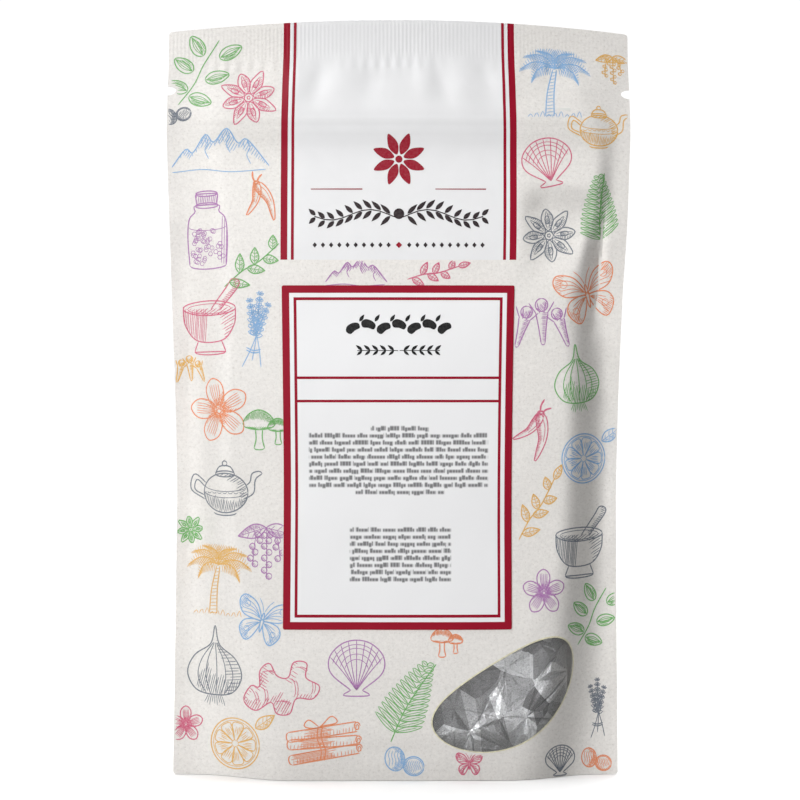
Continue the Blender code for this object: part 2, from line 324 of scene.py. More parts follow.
def space_depth(s, t):
    """Half the space between the panels."""
    fullness = np.where(s >= 0, smooth_table(RIGHT_FULLNESS, t), smooth_table(LEFT_FULLNESS, t))
    rest = 1 - (np.abs(s) / SPACE_HALF_WIDTH) ** fullness
    share = (rest + np.sqrt(rest * rest + SPACE_SOFTNESS**2)) / 2
    return 0.03 + smooth_table(DEPTH, t) * np.clip(share, 0, 1)


def wall_share(s, t):
    """Share of its depth that the front panel keeps: nearly flat, then a smooth fall to the side seal."""
    found = []
    for table, dome in ((LEFT_WALL, LEFT_DOME), (RIGHT_WALL, RIGHT_DOME)):
        table = np.array(table, float)
        middle = smooth_table(table[:, [0, 1]], t)
        breadth = smooth_table(table[:, [0, 2]], t)
        u = np.clip((np.abs(s) - middle) / breadth + 0.5, 0, 1)
        fall = u - np.sin(math.tau * u) / math.tau
        found.append((1 - dome * (np.abs(s) / 50) ** 2.5) * (1 - fall))
    return np.where(s < 0, found[0], found[1])


def front_depth(s, t):
    """How far in front of the middle plane the front panel's inner face is."""
    return 0.03 + smooth_table(DEPTH, t) * wall_share(s, t)


def back_depth(s, t):
    """How far behind the middle plane the back panel's inner face is: below 0 along the side seals."""
    return 2 * space_depth(s, t) - front_depth(s, t)


def panel_depth(s, t, side=-1):
    """Depth of one panel's inner face: side -1 is the front and 1 the back."""
    return np.where(side < 0, front_depth(s, t), back_depth(s, t))


# Soft ridges in the flat top of the pouch: s, t, turn in degrees, half length, half width, height
FRONT_RIDGES = (
    (-29.0, 192.6, 86, 5.0, 3.4, 0.55),
    (-22.6, 192.6, 80, 4.6, 2.2, -0.50),
    (-16.2, 192.8, 96, 5.6, 4.0, 0.50),
    (-8.0, 192.5, 90, 4.0, 3.0, -0.45),
    (7.2, 193.2, 100, 5.4, 2.8, 0.58),
    (12.4, 191.8, 112, 5.0, 1.8, -0.45),
    (18.0, 192.2, 117, 6.4, 3.4, 0.74),
    (24.4, 194.2, 118, 4.6, 1.9, -0.50),
    (30.0, 193.6, 104, 4.6, 3.0, 0.50),
    (-36.0, 193.4, 80, 4.0, 3.0, 0.34),
    (-45.0, 192.4, 95, 4.0, 2.6, -0.30),
    (42.0, 193.0, 82, 4.0, 2.6, -0.34),
    (50.5, 192.0, 100, 4.0, 2.6, 0.34),
    (-52.0, 170.5, 20, 6.0, 2.0, 0.22),
    (38.5, 158.0, 60, 5.0, 3.0, -0.50),
    (57.5, 154.0, 10, 3.4, 1.2, -0.42),
    (57.8, 145.5, 88, 9.5, 1.0, -0.85),
    (52.8, 145.5, 88, 9.5, 1.9, 0.45),
    (56.8, 127.5, 84, 8.0, 1.0, -0.50),
    (52.8, 127.0, 84, 9.0, 1.7, 0.34),
    (59.8, 146.0, 88, 9.0, 1.0, 0.22),
    (57.8, 148.5, 8, 3.4, 1.2, 0.34),
    (57.6, 125.0, 12, 3.2, 1.4, -0.34),
    (57.2, 106.0, 6, 3.0, 1.4, 0.34),
    (57.4, 99.0, 4, 3.0, 1.4, -0.30),
    (-58.0, 140.0, 4, 3.2, 1.6, 0.24),
    (-58.0, 118.0, -6, 3.2, 1.8, -0.22),
    (-57.6, 60.0, 4, 3.0, 2.2, 0.20),
    (30.0, 12.0, 12, 14.0, 2.6, 0.26),
    (-30.0, 10.0, -10, 14.0, 2.8, 0.24),
    (0.0, 8.0, 0, 18.0, 2.2, -0.22),
    (42.0, 47.0, 62, 10.0, 3.0, 0.30),
    (48.5, 58.0, 78, 12.0, 2.4, -0.24),
)
BACK_RIDGES = (
    (-18.0, 193.0, 96, 4.0, 2.2, 0.40),
    (9.0, 192.4, 82, 4.0, 2.0, -0.34),
    (26.0, 193.2, 100, 4.4, 2.0, 0.42),
    (-52.0, 150.0, 64, 12.0, 2.4, 0.40),
    (52.0, 146.0, -60, 12.0, 2.4, 0.40),
    (-40.0, 30.0, 64, 14.0, 3.4, 0.36),
    (38.0, 34.0, -60, 14.0, 3.4, 0.34),
    (0.0, 9.0, 0, 20.0, 2.6, -0.26),
)


def ridge_height(s, t, ridges):
    """Height of the soft ridges and dents at a point of the film."""
    total = np.zeros(np.broadcast(s, t).shape)
    for ridge_s, ridge_t, turn, half_length, half_width, height in ridges:
        turn = math.radians(turn)
        along = (s - ridge_s) * math.cos(turn) + (t - ridge_t) * math.sin(turn)
        across = (t - ridge_t) * math.cos(turn) - (s - ridge_s) * math.sin(turn)
        total = total + height * np.exp(-((along / half_length) ** 2) - (across / half_width) ** 2)
    return total


def ledge_height(s, t):
    """On the right, the film steps back under the zip and comes forward again lower down."""
    down = smooth_step((165.4 - t - 0.10 * (s - 45)) / 8.4)
    back = 1 - smooth_step((155 - t) / 22)
    place = smooth_step((s - 33.5) / 10) * smooth_step((61 - s) / 8)
    return -2.9 * down * back * place


def zip_height(s, t):
    """The zip strips show through the film as two steps and two fine ridges."""
    strip = 0.08 * between(t, 176.6, 186.4, 0.9)
    bead = 0.11 * np.exp(-(((t - 179.4) / 0.6) ** 2)) + 0.13 * np.exp(-(((t - 182.3) / 0.6) ** 2))
    return (strip + bead) * between(s, -55.5, 55.5, 6)


def slack(s, t):
    """Where the film lies over the contents and can move in and out."""
    return smooth_step((57.5 - np.abs(s)) / 16) * smooth_step((176 - t) / 30)


def seal_shift(s, t):
    """Both films move together in the ribbed top seal and along the side seals."""
    ribs = np.sin(s * math.tau / RIB_PITCH + 0.5 * np.sin(s / 7.3)) * RIB_HEIGHT
    ribs = ribs * (1 - 0.45 * smooth_step((s - 28) / 8))
    ribs = ribs * smooth_step((t - 199.2) / 2.2) * (1 + 0.3 * np.sin(s / 5.1 + 1))
    pucker = np.sin(s * math.tau / 3.4 + 1.7 * np.sin(s / 9.1)) * 0.10
    pucker = pucker * np.exp(-(((t - 198.0) / 2.4) ** 2)) * (0.6 + 0.5 * np.sin(s / 6.7 + 2))
    edge = smooth_step((np.abs(s) - 55) / 8)
    side = edge * (0.26 * waves(0 * s, t, 3, 24) + 0.10 * waves(s, t, 5, 9)) * smooth_step((196 - t) / 12)
    return ribs + pucker + side


def front_face(s, t):
    """Depth of the front panel's outer face, which is negative towards the front."""
    relief = ridge_height(s, t, FRONT_RIDGES) + zip_height(s, t) + ledge_height(s, t)
    relief = relief + slack(s, t) * (0.20 * waves(s, t, 11, 46) + 0.05 * waves(s, t, 12, 15))
    return seal_shift(s, t) - front_depth(s, t) - FILM - relief


def back_face(s, t):
    """Depth of the back panel's outer face."""
    relief = ridge_height(s, t, BACK_RIDGES) + zip_height(s, t)
    relief = relief + slack(s, t) * (0.34 * waves(s, t, 21, 52) + 0.07 * waves(s, t, 22, 17))
    return seal_shift(s, t) + back_depth(s, t) + FILM + relief


def formed(s, depth, t):
    """Where a point of the flat pouch ends up, in metres; depth is measured backwards."""
    across = s / HALF_WIDTH
    half = np.where(s < 0, smooth_table(LEFT_HALF, t), smooth_table(RIGHT_HALF, t))
    kept = np.where(s < 0, BOW_AT_LEFT, BOW_AT_RIGHT)
    bow = smooth_table(BOW, t) * (1 - (1 - kept) * across**2)
    drop = np.where(s < 0, LEFT_TOP_DROP, RIGHT_TOP_DROP) * across**2
    z = t - drop * smooth_step((t - TOP_DROP_START) / (HEIGHT - TOP_DROP_START))
    return np.stack(np.broadcast_arrays(across * half, depth - bow, z), axis=-1) / 1000


# Building pieces


def finish_piece(name, shape, place, material, nodes=(), smooth=True, sharp=40):
    """Forms a flat bmesh and makes it a piece: place takes s, t and layer and returns places."""
    mesh = bpy.data.meshes.new(name)
    shape.to_mesh(mesh)
    shape.free()
    count = len(mesh.vertices)
    flat = np.empty(count * 3, np.float32)
    mesh.vertices.foreach_get("co", flat)
    flat = flat.reshape(-1, 3).astype(float)
    formed_points = place(flat[:, 0], flat[:, 1], flat[:, 2])
    mesh.vertices.foreach_set("co", formed_points.astype(np.float32).ravel())
    corners = np.empty(len(mesh.loops), np.int32)
    mesh.loops.foreach_get("vertex_index", corners)
    layout = mesh.uv_layers.new(name="flat")
    spread = np.stack([flat[:, 0] / (2 * HALF_WIDTH) + 0.5, flat[:, 1] / HEIGHT], axis=1)
    layout.data.foreach_set("uv", spread[corners].astype(np.float32).ravel())
    mesh.polygons.foreach_set("use_smooth", [smooth] * len(mesh.polygons))
    mesh.update()
    if smooth:
        mesh.set_sharp_from_angle(angle=math.radians(sharp))
    mesh.materials.append(material)
    piece = bpy.data.objects.new(name, mesh)
    bpy.context.scene.collection.objects.link(piece)
    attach(piece, "root")
    if nodes:
        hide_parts(*nodes)
    return piece


def inside(points, loop):
    """Which points lie inside a closed loop, by counting crossings."""
    x, y = points[:, 0], points[:, 1]
    found = np.zeros(len(points), bool)
    previous = loop[-1]
    for corner in loop:
        if corner[1] != previous[1]:
            crosses = (corner[1] > y) != (previous[1] > y)
            at = previous[0] + (y - previous[1]) * (corner[0] - previous[0]) / (corner[1] - previous[1])
            found ^= crosses & (x < at)
        previous = corner
    return found


def nearest(points, loop):
    """Distance from each point to the closest corner of a loop."""
    loop = np.asarray(loop)
    low = loop.min(axis=0) - 3
    high = loop.max(axis=0) + 3
    found = np.full(len(points), 9.0)
    near = ((points > low) & (points < high)).all(axis=1)
    if near.any():
        found[near] = np.linalg.norm(points[near][:, None] - loop[None], axis=2).min(axis=1)
    return found


def divided(loop, longest):
    """A closed loop with its long sides divided."""
    found = []
    for start, end in zip(loop, loop[1:] + loop[:1]):
        steps = max(1, math.ceil(math.dist(start, end) / longest))
        found += [
            (start[0] + (end[0] - start[0]) * i / steps, start[1] + (end[1] - start[1]) * i / steps)
            for i in range(steps)
        ]
    return found


def flat_sheet(outline, hole, grid, clearance, net=None):
    """A flat triangulated sheet with an outline, a hole and a net of creases."""
    keep = inside(grid, outline) & (nearest(grid, outline) > clearance)
    if hole:
        keep &= ~inside(grid, hole) & (nearest(grid, hole) > clearance)
    first = len(outline)
    edges = [(i, (i + 1) % first) for i in range(first)]
    edges += [(first + i, first + (i + 1) % len(hole)) for i in range(len(hole))]
    corners = [tuple(point) for point in outline + hole + grid[keep].tolist()]
    if net:
        edges += [(len(corners) + i, len(corners) + j) for i, j in net.edges]
        corners += [tuple(point) for point in net.corners]
    found = delaunay_2d_cdt(corners, edges, [], 0, 1e-5)
    sheet = bmesh.new()
    verts = [sheet.verts.new((*point, 0)) for point in found[0]]
    for face in found[2]:
        sheet.faces.new([verts[i] for i in face])
    centres = np.array([face.calc_center_median()[:2] for face in sheet.faces])
    waste = ~inside(centres, outline)
    if hole:
        waste |= inside(centres, hole)
    bmesh.ops.delete(sheet, geom=[face for face, cut in zip(sheet.faces, waste) if cut], context="FACES")
    return sheet


def thickened(sheet):
    """Extrudes a flat sheet: layer 0 keeps its faces turned out, and layer 1 is the other side."""
    made = bmesh.ops.extrude_face_region(sheet, geom=list(sheet.faces))["geom"]
    for item in made:
        if isinstance(item, bmesh.types.BMVert):
            item.co.z = 1
    bmesh.ops.recalc_face_normals(sheet, faces=sheet.faces)
    return sheet


def film_grid():
    """Mesh points of a panel: even rows and columns, and fine columns in the ribbed seal."""
    columns = np.linspace(-HALF_WIDTH, HALF_WIDTH, round(2 * HALF_WIDTH / CELL) + 1)
    rows = np.arange(CELL, SEAL_FOOT, CELL)
    seal_columns = np.linspace(-HALF_WIDTH, HALF_WIDTH, round(2 * HALF_WIDTH / SEAL_CELL) + 1)
    seal_rows = np.arange(SEAL_FOOT + 0.5, HEIGHT, 1.3)
    low = np.array([(s, t) for t in rows for s in columns])
    high = np.array([(s, t) for t in seal_rows for s in seal_columns])
    return np.concatenate([low, high])


def notch(side, height):
    """A round-ended tear notch in the right edge or, with side -1, in the left one."""
    turns = [math.radians(angle) for angle in range(-90, 91, 15)]
    return [
        (side * (HALF_WIDTH - NOTCH_DEPTH * math.cos(turn)), height + NOTCH_HALF_HEIGHT * math.sin(turn))
        for turn in turns
    ]


def panel_outline():
    """The flat panel, anticlockwise, with rounded corners and a tear notch in each side."""
    turns = [math.radians(angle) for angle in (0, 30, 60, 90)]
    inset = HALF_WIDTH - CORNER_RADIUS
    rise = [(inset + CORNER_RADIUS * math.sin(a), CORNER_RADIUS - CORNER_RADIUS * math.cos(a)) for a in turns]
    right = rise + notch(1, RIGHT_NOTCH) + [(s, HEIGHT - t) for s, t in reversed(rise)]
    left = rise + [(-s, t) for s, t in notch(-1, LEFT_NOTCH)] + [(s, HEIGHT - t) for s, t in reversed(rise)]
    loop = right + [(-s, t) for s, t in reversed(left)]
    return divided(loop, CELL)


def window_outline(margin=0.0, corners=120):
    """A plump bent leaf, widened by a margin all round."""
    loop = []
    for i in range(corners):
        turn = math.tau * i / corners
        along = (WINDOW_HALF_LENGTH + margin) * math.cos(turn)
        bend = WINDOW_BEND * ((along / WINDOW_HALF_LENGTH) ** 2 - 0.5)
        across = (WINDOW_HALF_BREADTH + margin) * math.sin(turn) + bend
        s = WINDOW_MIDDLE[0] + along * math.cos(WINDOW_TILT) - across * math.sin(WINDOW_TILT)
        t = WINDOW_MIDDLE[1] + along * math.sin(WINDOW_TILT) + across * math.cos(WINDOW_TILT)
        loop.append((s, t))
    return loop


# Materials


def new_material(name):
    """A material's node tree and its Principled shader."""
    material = bpy.data.materials.new(name)
    material.use_nodes = True
    return material, material.node_tree, material.node_tree.nodes["Principled BSDF"]


def feed(tree, socket, value):
    """Links a socket's output to an input, or sets the input's own value."""
    if isinstance(value, bpy.types.NodeSocket):
        tree.links.new(value, socket)
    else:
        socket.default_value = value


def reckon(tree, operation, *values):
    """A Math node."""
    node = tree.nodes.new("ShaderNodeMath")
    node.operation = operation
    for socket, value in zip(node.inputs, values):
        feed(tree, socket, value)
    return node.outputs[0]


def blended(tree, share, first, second, kind="MIX"):
    """A colour mix."""
    node = tree.nodes.new("ShaderNodeMix")
    node.data_type = "RGBA"
    node.blend_type = kind
    feed(tree, node.inputs["Factor"], share)
    feed(tree, node.inputs[6], first)
    feed(tree, node.inputs[7], second)
    return node.outputs[2]


def scaled(tree, colour, share):
    """A colour made lighter or darker."""
    node = tree.nodes.new("ShaderNodeVectorMath")
    node.operation = "SCALE"
    tree.links.new(colour, node.inputs[0])
    tree.links.new(share, node.inputs["Scale"])
    return node.outputs[0]


def noise(tree, vector, scale, detail=2.0, roughness=0.5):
    """A noise texture's value."""
    node = tree.nodes.new("ShaderNodeTexNoise")
    feed(tree, node.inputs["Vector"], vector)
    node.inputs["Scale"].default_value = scale
    node.inputs["Detail"].default_value = detail
    node.inputs["Roughness"].default_value = roughness
    return node.outputs["Fac"]


def ranged(tree, value, low, high, to_low=0.0, to_high=1.0):
    """A value moved from one range to another and held there."""
    node = tree.nodes.new("ShaderNodeMapRange")
    node.clamp = True
    feed(tree, node.inputs["Value"], value)
    for name, number in (("From Min", low), ("From Max", high), ("To Min", to_low), ("To Max", to_high)):
        feed(tree, node.inputs[name], number)
    return node.outputs[0]


def flat_millimetres(tree):
    """The flat film's own coordinates, in millimetres."""
    layout = tree.nodes.new("ShaderNodeUVMap")
    layout.uv_map = "flat"
    mapping = tree.nodes.new("ShaderNodeMapping")
    mapping.inputs["Location"].default_value = (-HALF_WIDTH, 0, 0)
    mapping.inputs["Scale"].default_value = (2 * HALF_WIDTH, HEIGHT, 1)
    tree.links.new(layout.outputs["UV"], mapping.inputs["Vector"])
    return mapping.outputs[0]


def split(tree, vector):
    """The first two parts of a vector or colour."""
    node = tree.nodes.new("ShaderNodeSeparateXYZ")
    tree.links.new(vector, node.inputs[0])
    return node.outputs[0], node.outputs[1]


def add_group(name, inputs, outputs):
    """An empty shader node group with its sockets."""
    group = bpy.data.node_groups.new(name, "ShaderNodeTree")
    for label, kind, value in inputs:
        socket = group.interface.new_socket(label, in_out="INPUT", socket_type=kind)
        if value is not None:
            socket.default_value = value
    for label, kind in outputs:
        group.interface.new_socket(label, in_out="OUTPUT", socket_type=kind)
    return group, group.nodes.new("NodeGroupInput"), group.nodes.new("NodeGroupOutput")


def placed_group(tree, group, **values):
    """A node group placed in a material; an underscore in a name stands for a space."""
    node = tree.nodes.new("ShaderNodeGroup")
    node.node_tree = group
    for label, value in values.items():
        feed(tree, node.inputs[label.replace("_", " ")], value)
    return node


def make_film_grain():
    """Paper look of the laminate: specks, soft mottle, and a fine surface tooth."""
    group, start, end = add_group(
        "film_grain",
        (("Vector", "NodeSocketVector", None), ("Speck", "NodeSocketFloat", 1.0)),
        (("Shade", "NodeSocketFloat"), ("Speck Mask", "NodeSocketFloat"), ("Height", "NodeSocketFloat")),
    )
    vector = start.outputs["Vector"]
    specks = ranged(group, noise(group, vector, 1.5, 3, 0.65), 0.54, 0.72)
    fibres = ranged(group, noise(group, vector, 3.6, 2, 0.7), 0.52, 0.78)
    both = reckon(group, "MAXIMUM", specks, reckon(group, "MULTIPLY", fibres, 0.8))
    masked = reckon(group, "MULTIPLY", both, start.outputs["Speck"])
    mottle = ranged(group, noise(group, vector, 0.16, 3, 0.6), 0.3, 0.7, 0.985, 1.01)
    cloud = ranged(group, noise(group, vector, 0.9, 3, 0.7), 0.32, 0.68, 0.93, 1.04)
    cloud = reckon(group, "ADD", reckon(group, "MULTIPLY", cloud, start.outputs["Speck"]), 1)
    cloud = reckon(group, "SUBTRACT", cloud, start.outputs["Speck"])
    group.links.new(reckon(group, "MULTIPLY", mottle, cloud), end.inputs["Shade"])
    group.links.new(masked, end.inputs["Speck Mask"])
    group.links.new(noise(group, vector, 3.0, 4, 0.7), end.inputs["Height"])
    return group


def make_stripe():
    """Node group that gives 1 where a value lies between two limits."""
    group, start, end = add_group(
        "stripe",
        (
            ("Value", "NodeSocketFloat", 0.0),
            ("Low", "NodeSocketFloat", 0.0),
            ("High", "NodeSocketFloat", 1.0),
        ),
        (("Mask", "NodeSocketFloat"),),
    )
    above = reckon(group, "GREATER_THAN", start.outputs["Value"], start.outputs["Low"])
    below = reckon(group, "LESS_THAN", start.outputs["Value"], start.outputs["High"])
    group.links.new(reckon(group, "MULTIPLY", above, below), end.inputs["Mask"])
    return group


def make_small_print():
    """Rows of soft grey marks that stand for small print, in a block of the flat film."""
    group, start, end = add_group(
        "small_print",
        (
            ("Vector", "NodeSocketVector", None),
            ("Left", "NodeSocketFloat", 0.0),
            ("Right", "NodeSocketFloat", 1.0),
            ("Foot", "NodeSocketFloat", 0.0),
            ("Top", "NodeSocketFloat", 1.0),
            ("Pitch", "NodeSocketFloat", 2.0),
        ),
        (("Mask", "NodeSocketFloat"),),
    )
    s, t = split(group, start.outputs["Vector"])
    down = reckon(group, "SUBTRACT", start.outputs["Top"], t)
    rows = reckon(group, "DIVIDE", down, start.outputs["Pitch"])
    row = reckon(group, "ADD", reckon(group, "FLOOR", rows), start.outputs["Foot"])
    along = reckon(group, "FRACT", rows)
    place = reckon(group, "ADD", s, reckon(group, "MULTIPLY", row, ROW_OFFSET))

    def cells(pitch, feature="DISTANCE_TO_EDGE"):
        """Uneven cells along a row."""
        node = group.nodes.new("ShaderNodeTexVoronoi")
        node.voronoi_dimensions = "1D"
        node.feature = feature
        node.inputs["Scale"].default_value = 1 / pitch
        node.inputs["Randomness"].default_value = 0.75
        group.links.new(place, node.inputs["W"])
        return node

    gap = cells(WORD).outputs["Distance"]
    words = ranged(group, gap, 0.03, 0.11, 0.10, 1.0)
    joint = cells(STROKE).outputs["Distance"]
    letters = ranged(group, joint, 0.0, 0.30, 0.66, 1.0)
    kind = split(group, cells(STROKE, "F1").outputs["Color"])[0]
    rise = reckon(group, "MULTIPLY", reckon(group, "GREATER_THAN", kind, 0.66), 0.20)
    fall = reckon(group, "MULTIPLY", reckon(group, "LESS_THAN", kind, 0.12), 0.16)
    above = ranged(group, reckon(group, "ADD", along, rise), 0.20, 0.42)
    below = ranged(group, reckon(group, "SUBTRACT", along, fall), 0.64, 0.86, 1.0, 0.0)
    body = reckon(group, "MULTIPLY", above, below)
    edges = reckon(
        group,
        "MULTIPLY",
        ranged(group, reckon(group, "SUBTRACT", s, start.outputs["Left"]), -0.25, 0.25),
        ranged(group, reckon(group, "SUBTRACT", start.outputs["Right"], s), -0.25, 0.25),
    )
    ends = reckon(
        group,
        "MULTIPLY",
        reckon(group, "GREATER_THAN", t, start.outputs["Foot"]),
        reckon(group, "LESS_THAN", t, start.outputs["Top"]),
    )
    mask = reckon(group, "MULTIPLY", reckon(group, "MULTIPLY", body, words), letters)
    mask = reckon(group, "MULTIPLY", mask, reckon(group, "MULTIPLY", edges, ends))
    group.links.new(mask, end.inputs["Mask"])
    return group


FILM_GRAIN = make_film_grain()
STRIPE = make_stripe()
SMALL_PRINT = make_small_print()


def stripe(tree, value, low, high):
    """1 where a value lies between two limits."""
    return placed_group(tree, STRIPE, Value=value, Low=low, High=high).outputs["Mask"]


def box_mask(tree, across, t, half_width, foot, top):
    """1 inside a rectangle centred on the pouch."""
    return reckon(tree, "MULTIPLY", stripe(tree, across, -1, half_width), stripe(tree, t, foot, top))


def small_print(tree, vector, blocks, pitch):
    """Masks of blocks of small print, as one."""
    masks = []
    for left, right, foot, top in blocks:
        sides = {"Left": left, "Right": right, "Foot": foot, "Top": top}
        block = placed_group(tree, SMALL_PRINT, Vector=vector, Pitch=pitch, **sides)
        masks.append(block.outputs["Mask"])
    return most(tree, *masks)


def most(tree, *masks):
    """The greatest of several masks."""
    found = masks[0]
    for mask in masks[1:]:
        found = reckon(tree, "MAXIMUM", found, mask)
    return found


def bump(tree, shader, height, strength, distance):
    """Relief from a height, on a shader."""
    node = tree.nodes.new("ShaderNodeBump")
    node.inputs["Strength"].default_value = strength
    node.inputs["Distance"].default_value = distance
    tree.links.new(height, node.inputs["Height"])
    tree.links.new(node.outputs["Normal"], shader.inputs["Normal"])


def set_finish(shader, **values):
    """Even values of a shader; an underscore in a name stands for a space."""
    for label, value in values.items():
        shader.inputs[label.replace("_", " ")].default_value = value


def film_material(name, front):
    """Printed laminate: speckled paper look, and a clean white band between red lines on the front."""
    material, tree, shader = new_material(name)
    vector = flat_millimetres(tree)
    s, t = split(tree, vector)
    across = reckon(tree, "ABSOLUTE", s)
    if front:
        across = reckon(tree, "MULTIPLY", across, ranged(tree, t, BAND_FOOT, HEIGHT, 0.992, 1.018))
        clean = box_mask(tree, across, t, BAND_HALF_WIDTH, BAND_FOOT, HEIGHT + 1)
        inner = BAND_HALF_WIDTH - THICK_LINE - LINE_GAP
        lines = most(
            tree,
            stripe(tree, across, BAND_HALF_WIDTH - THICK_LINE, BAND_HALF_WIDTH),
            stripe(tree, across, inner - THIN_LINE, inner),
        )
        lines = reckon(tree, "MULTIPLY", lines, reckon(tree, "GREATER_THAN", t, BAND_FOOT))
        words = None
    else:

        def back_box(inset):
            """1 inside the white box, less an inset."""
            half_width = BACK_BOX_HALF_WIDTH - inset
            return box_mask(tree, across, t, half_width, BACK_BOX_FOOT + inset, BACK_BOX_TOP - inset)

        clean = back_box(0.0)
        inner = BACK_LINE_INSET + BACK_LINE
        lines = most(
            tree,
            reckon(tree, "SUBTRACT", back_box(BACK_LINE_INSET), back_box(inner)),
            box_mask(tree, across, t, BACK_RULE_HALF_LENGTH, BACK_RULE_FOOT, BACK_RULE_TOP),
        )
        words = small_print(tree, vector, BACK_BOX_PRINT, BACK_PRINT_PITCH)
    grain = placed_group(tree, FILM_GRAIN, Vector=vector, Speck=reckon(tree, "SUBTRACT", 1.0, clean))
    colour = blended(tree, clean, PAPER, BAND_WHITE)
    specks = reckon(tree, "MULTIPLY", grain.outputs["Speck Mask"], 0.34)
    colour = blended(tree, specks, colour, light_of(168, 158, 148))
    colour = blended(tree, lines, colour, CRIMSON)
    if words:
        colour = blended(tree, reckon(tree, "MULTIPLY", words, 0.85), colour, light_of(70, 70, 74))
    tree.links.new(scaled(tree, colour, grain.outputs["Shade"]), shader.inputs["Base Color"])
    feed(tree, shader.inputs["Roughness"], ranged(tree, grain.outputs["Height"], 0.3, 0.7, 0.40, 0.50))
    set_finish(shader, Specular_IOR_Level=0.15)
    bump(tree, shader, grain.outputs["Height"], 0.10, 0.00008)
    return material


def label_material():
    """Smooth label paper with a red border, two boxes, rules and rows of soft small print."""
    material, tree, shader = new_material("label_paper")
    vector = flat_millimetres(tree)
    s, t = split(tree, vector)
    across = reckon(tree, "ABSOLUTE", s)

    def box(inset):
        """1 inside the label, less an inset."""
        return box_mask(tree, across, t, LABEL_HALF_WIDTH - inset, LABEL_FOOT + inset, LABEL_TOP - inset)

    thin = BORDER + BORDER_GAP
    outer = reckon(tree, "SUBTRACT", 1.0, box(BORDER))
    fine = reckon(tree, "SUBTRACT", box(thin), box(thin + THIN_LINE))
    inner_half = LABEL_HALF_WIDTH - thin
    rules = [
        box_mask(tree, across, t, inner_half, height - RULE / 2, height + RULE / 2)
        for height in (UPPER_RULE, LOWER_RULE)
    ]
    lines = most(tree, outer, fine, *rules)
    grain = placed_group(tree, FILM_GRAIN, Vector=vector, Speck=0.0)
    words = reckon(tree, "MULTIPLY", small_print(tree, vector, LABEL_PRINT, LABEL_PRINT_PITCH), 0.80)
    colour = blended(tree, words, LABEL_WHITE, light_of(48, 48, 52))
    colour = blended(tree, lines, colour, CRIMSON)
    tree.links.new(colour, shader.inputs["Base Color"])
    feed(tree, shader.inputs["Roughness"], ranged(tree, grain.outputs["Height"], 0.3, 0.7, 0.46, 0.56))
    set_finish(shader, Specular_IOR_Level=0.14)
    bump(tree, shader, grain.outputs["Height"], 0.08, 0.00006)
    return material


def ink_material(name, colour, wear=0.42):
    """Printed ink: a little uneven, as drawn with a worn pen."""
    material, tree, shader = new_material(name)
    vector = flat_millimetres(tree)
    worn = ranged(tree, noise(tree, vector, 1.3, 3, 0.6), 0.35, 0.72, 0.0, wear)
    pale = tuple(value * 0.45 + paper * 0.55 for value, paper in zip(colour, PAPER))
    tree.links.new(blended(tree, worn, colour, pale), shader.inputs["Base Color"])
    feed(tree, shader.inputs["Roughness"], ranged(tree, worn, 0.0, wear, 0.42, 0.50))
    set_finish(shader, Specular_IOR_Level=0.15)
    return material


def foil_material():
    """Silver foil: metal with dull and bright patches painted into its colour as facet reflections, fine
    creases, and a crinkled grain whose hollows are painted darker.
    """
    material, tree, shader = new_material("foil")
    vector = flat_millimetres(tree)
    # Painted reflection: random cells of dark and bright metal colour stand in for facets that catch or miss
    # the light
    painted_facet_patches = tree.nodes.new("ShaderNodeTexVoronoi")
    painted_facet_patches.inputs["Scale"].default_value = 0.13
    tree.links.new(vector, painted_facet_patches.inputs["Vector"])
    fine = noise(tree, vector, 1.1, 4, 0.65)
    grain = noise(tree, vector, 1.9, 5, 0.78)
    folds = ranged(tree, reckon(tree, "ABSOLUTE", reckon(tree, "SUBTRACT", fine, 0.5)), 0.0, 0.05)
    shade = ranged(tree, split(tree, painted_facet_patches.outputs["Color"])[0], 0.1, 0.9)
    colour = blended(tree, shade, light_of(92, 91, 93), light_of(228, 229, 231))
    # Painted shade: the colour darkens where the crinkle bump is low, in its hollows
    crinkle_shade = ranged(tree, grain, 0.38, 0.62, 0.55, 1.0)
    tree.links.new(scaled(tree, colour, crinkle_shade), shader.inputs["Base Color"])
    feed(tree, shader.inputs["Metallic"], 1.0)
    feed(tree, shader.inputs["Roughness"], ranged(tree, grain, 0.3, 0.7, 0.24, 0.38))
    height = reckon(tree, "ADD", reckon(tree, "MULTIPLY", folds, 0.6), reckon(tree, "MULTIPLY", grain, 0.5))
    bump(tree, shader, height, 0.5, 0.00022)
    return material


def pane_material():
    """Clear film: nearly invisible but for its gloss."""
    material, tree, shader = new_material("clear_film")
    vector = flat_millimetres(tree)
    set_finish(shader, Base_Color=(0.95, 0.96, 0.96, 1.0), Alpha=0.07, Specular_IOR_Level=0.5)
    feed(tree, shader.inputs["Roughness"], ranged(tree, noise(tree, vector, 0.4), 0.3, 0.7, 0.16, 0.30))
    bump(tree, shader, noise(tree, vector, 0.22, 3, 0.6), 0.5, 0.0005)
    return material


def zip_material():
    """Milky zip plastic with faint extrusion lines along its length."""
    material, tree, shader = new_material("zip_plastic")
    place = tree.nodes.new("ShaderNodeTexCoord")
    mapping = tree.nodes.new("ShaderNodeMapping")
    mapping.inputs["Scale"].default_value = (20, 900, 900)
    tree.links.new(place.outputs["Object"], mapping.inputs["Vector"])
    grain = noise(tree, mapping.outputs[0], 1.0, 3, 0.6)
    colour = blended(tree, ranged(tree, grain, 0.3, 0.7), light_of(214, 214, 210), light_of(236, 236, 233))
    tree.links.new(colour, shader.inputs["Base Color"])
    feed(tree, shader.inputs["Roughness"], ranged(tree, grain, 0.3, 0.7, 0.28, 0.42))
    bump(tree, shader, grain, 0.15, 0.0001)
    return material


# Films


def in_front(lift, thickness):
    """Forms a layer whose outer face lies in front of the front film by this lift."""
    return lambda s, t, layer: formed(s, front_face(s, t) - lift + layer * thickness, t)


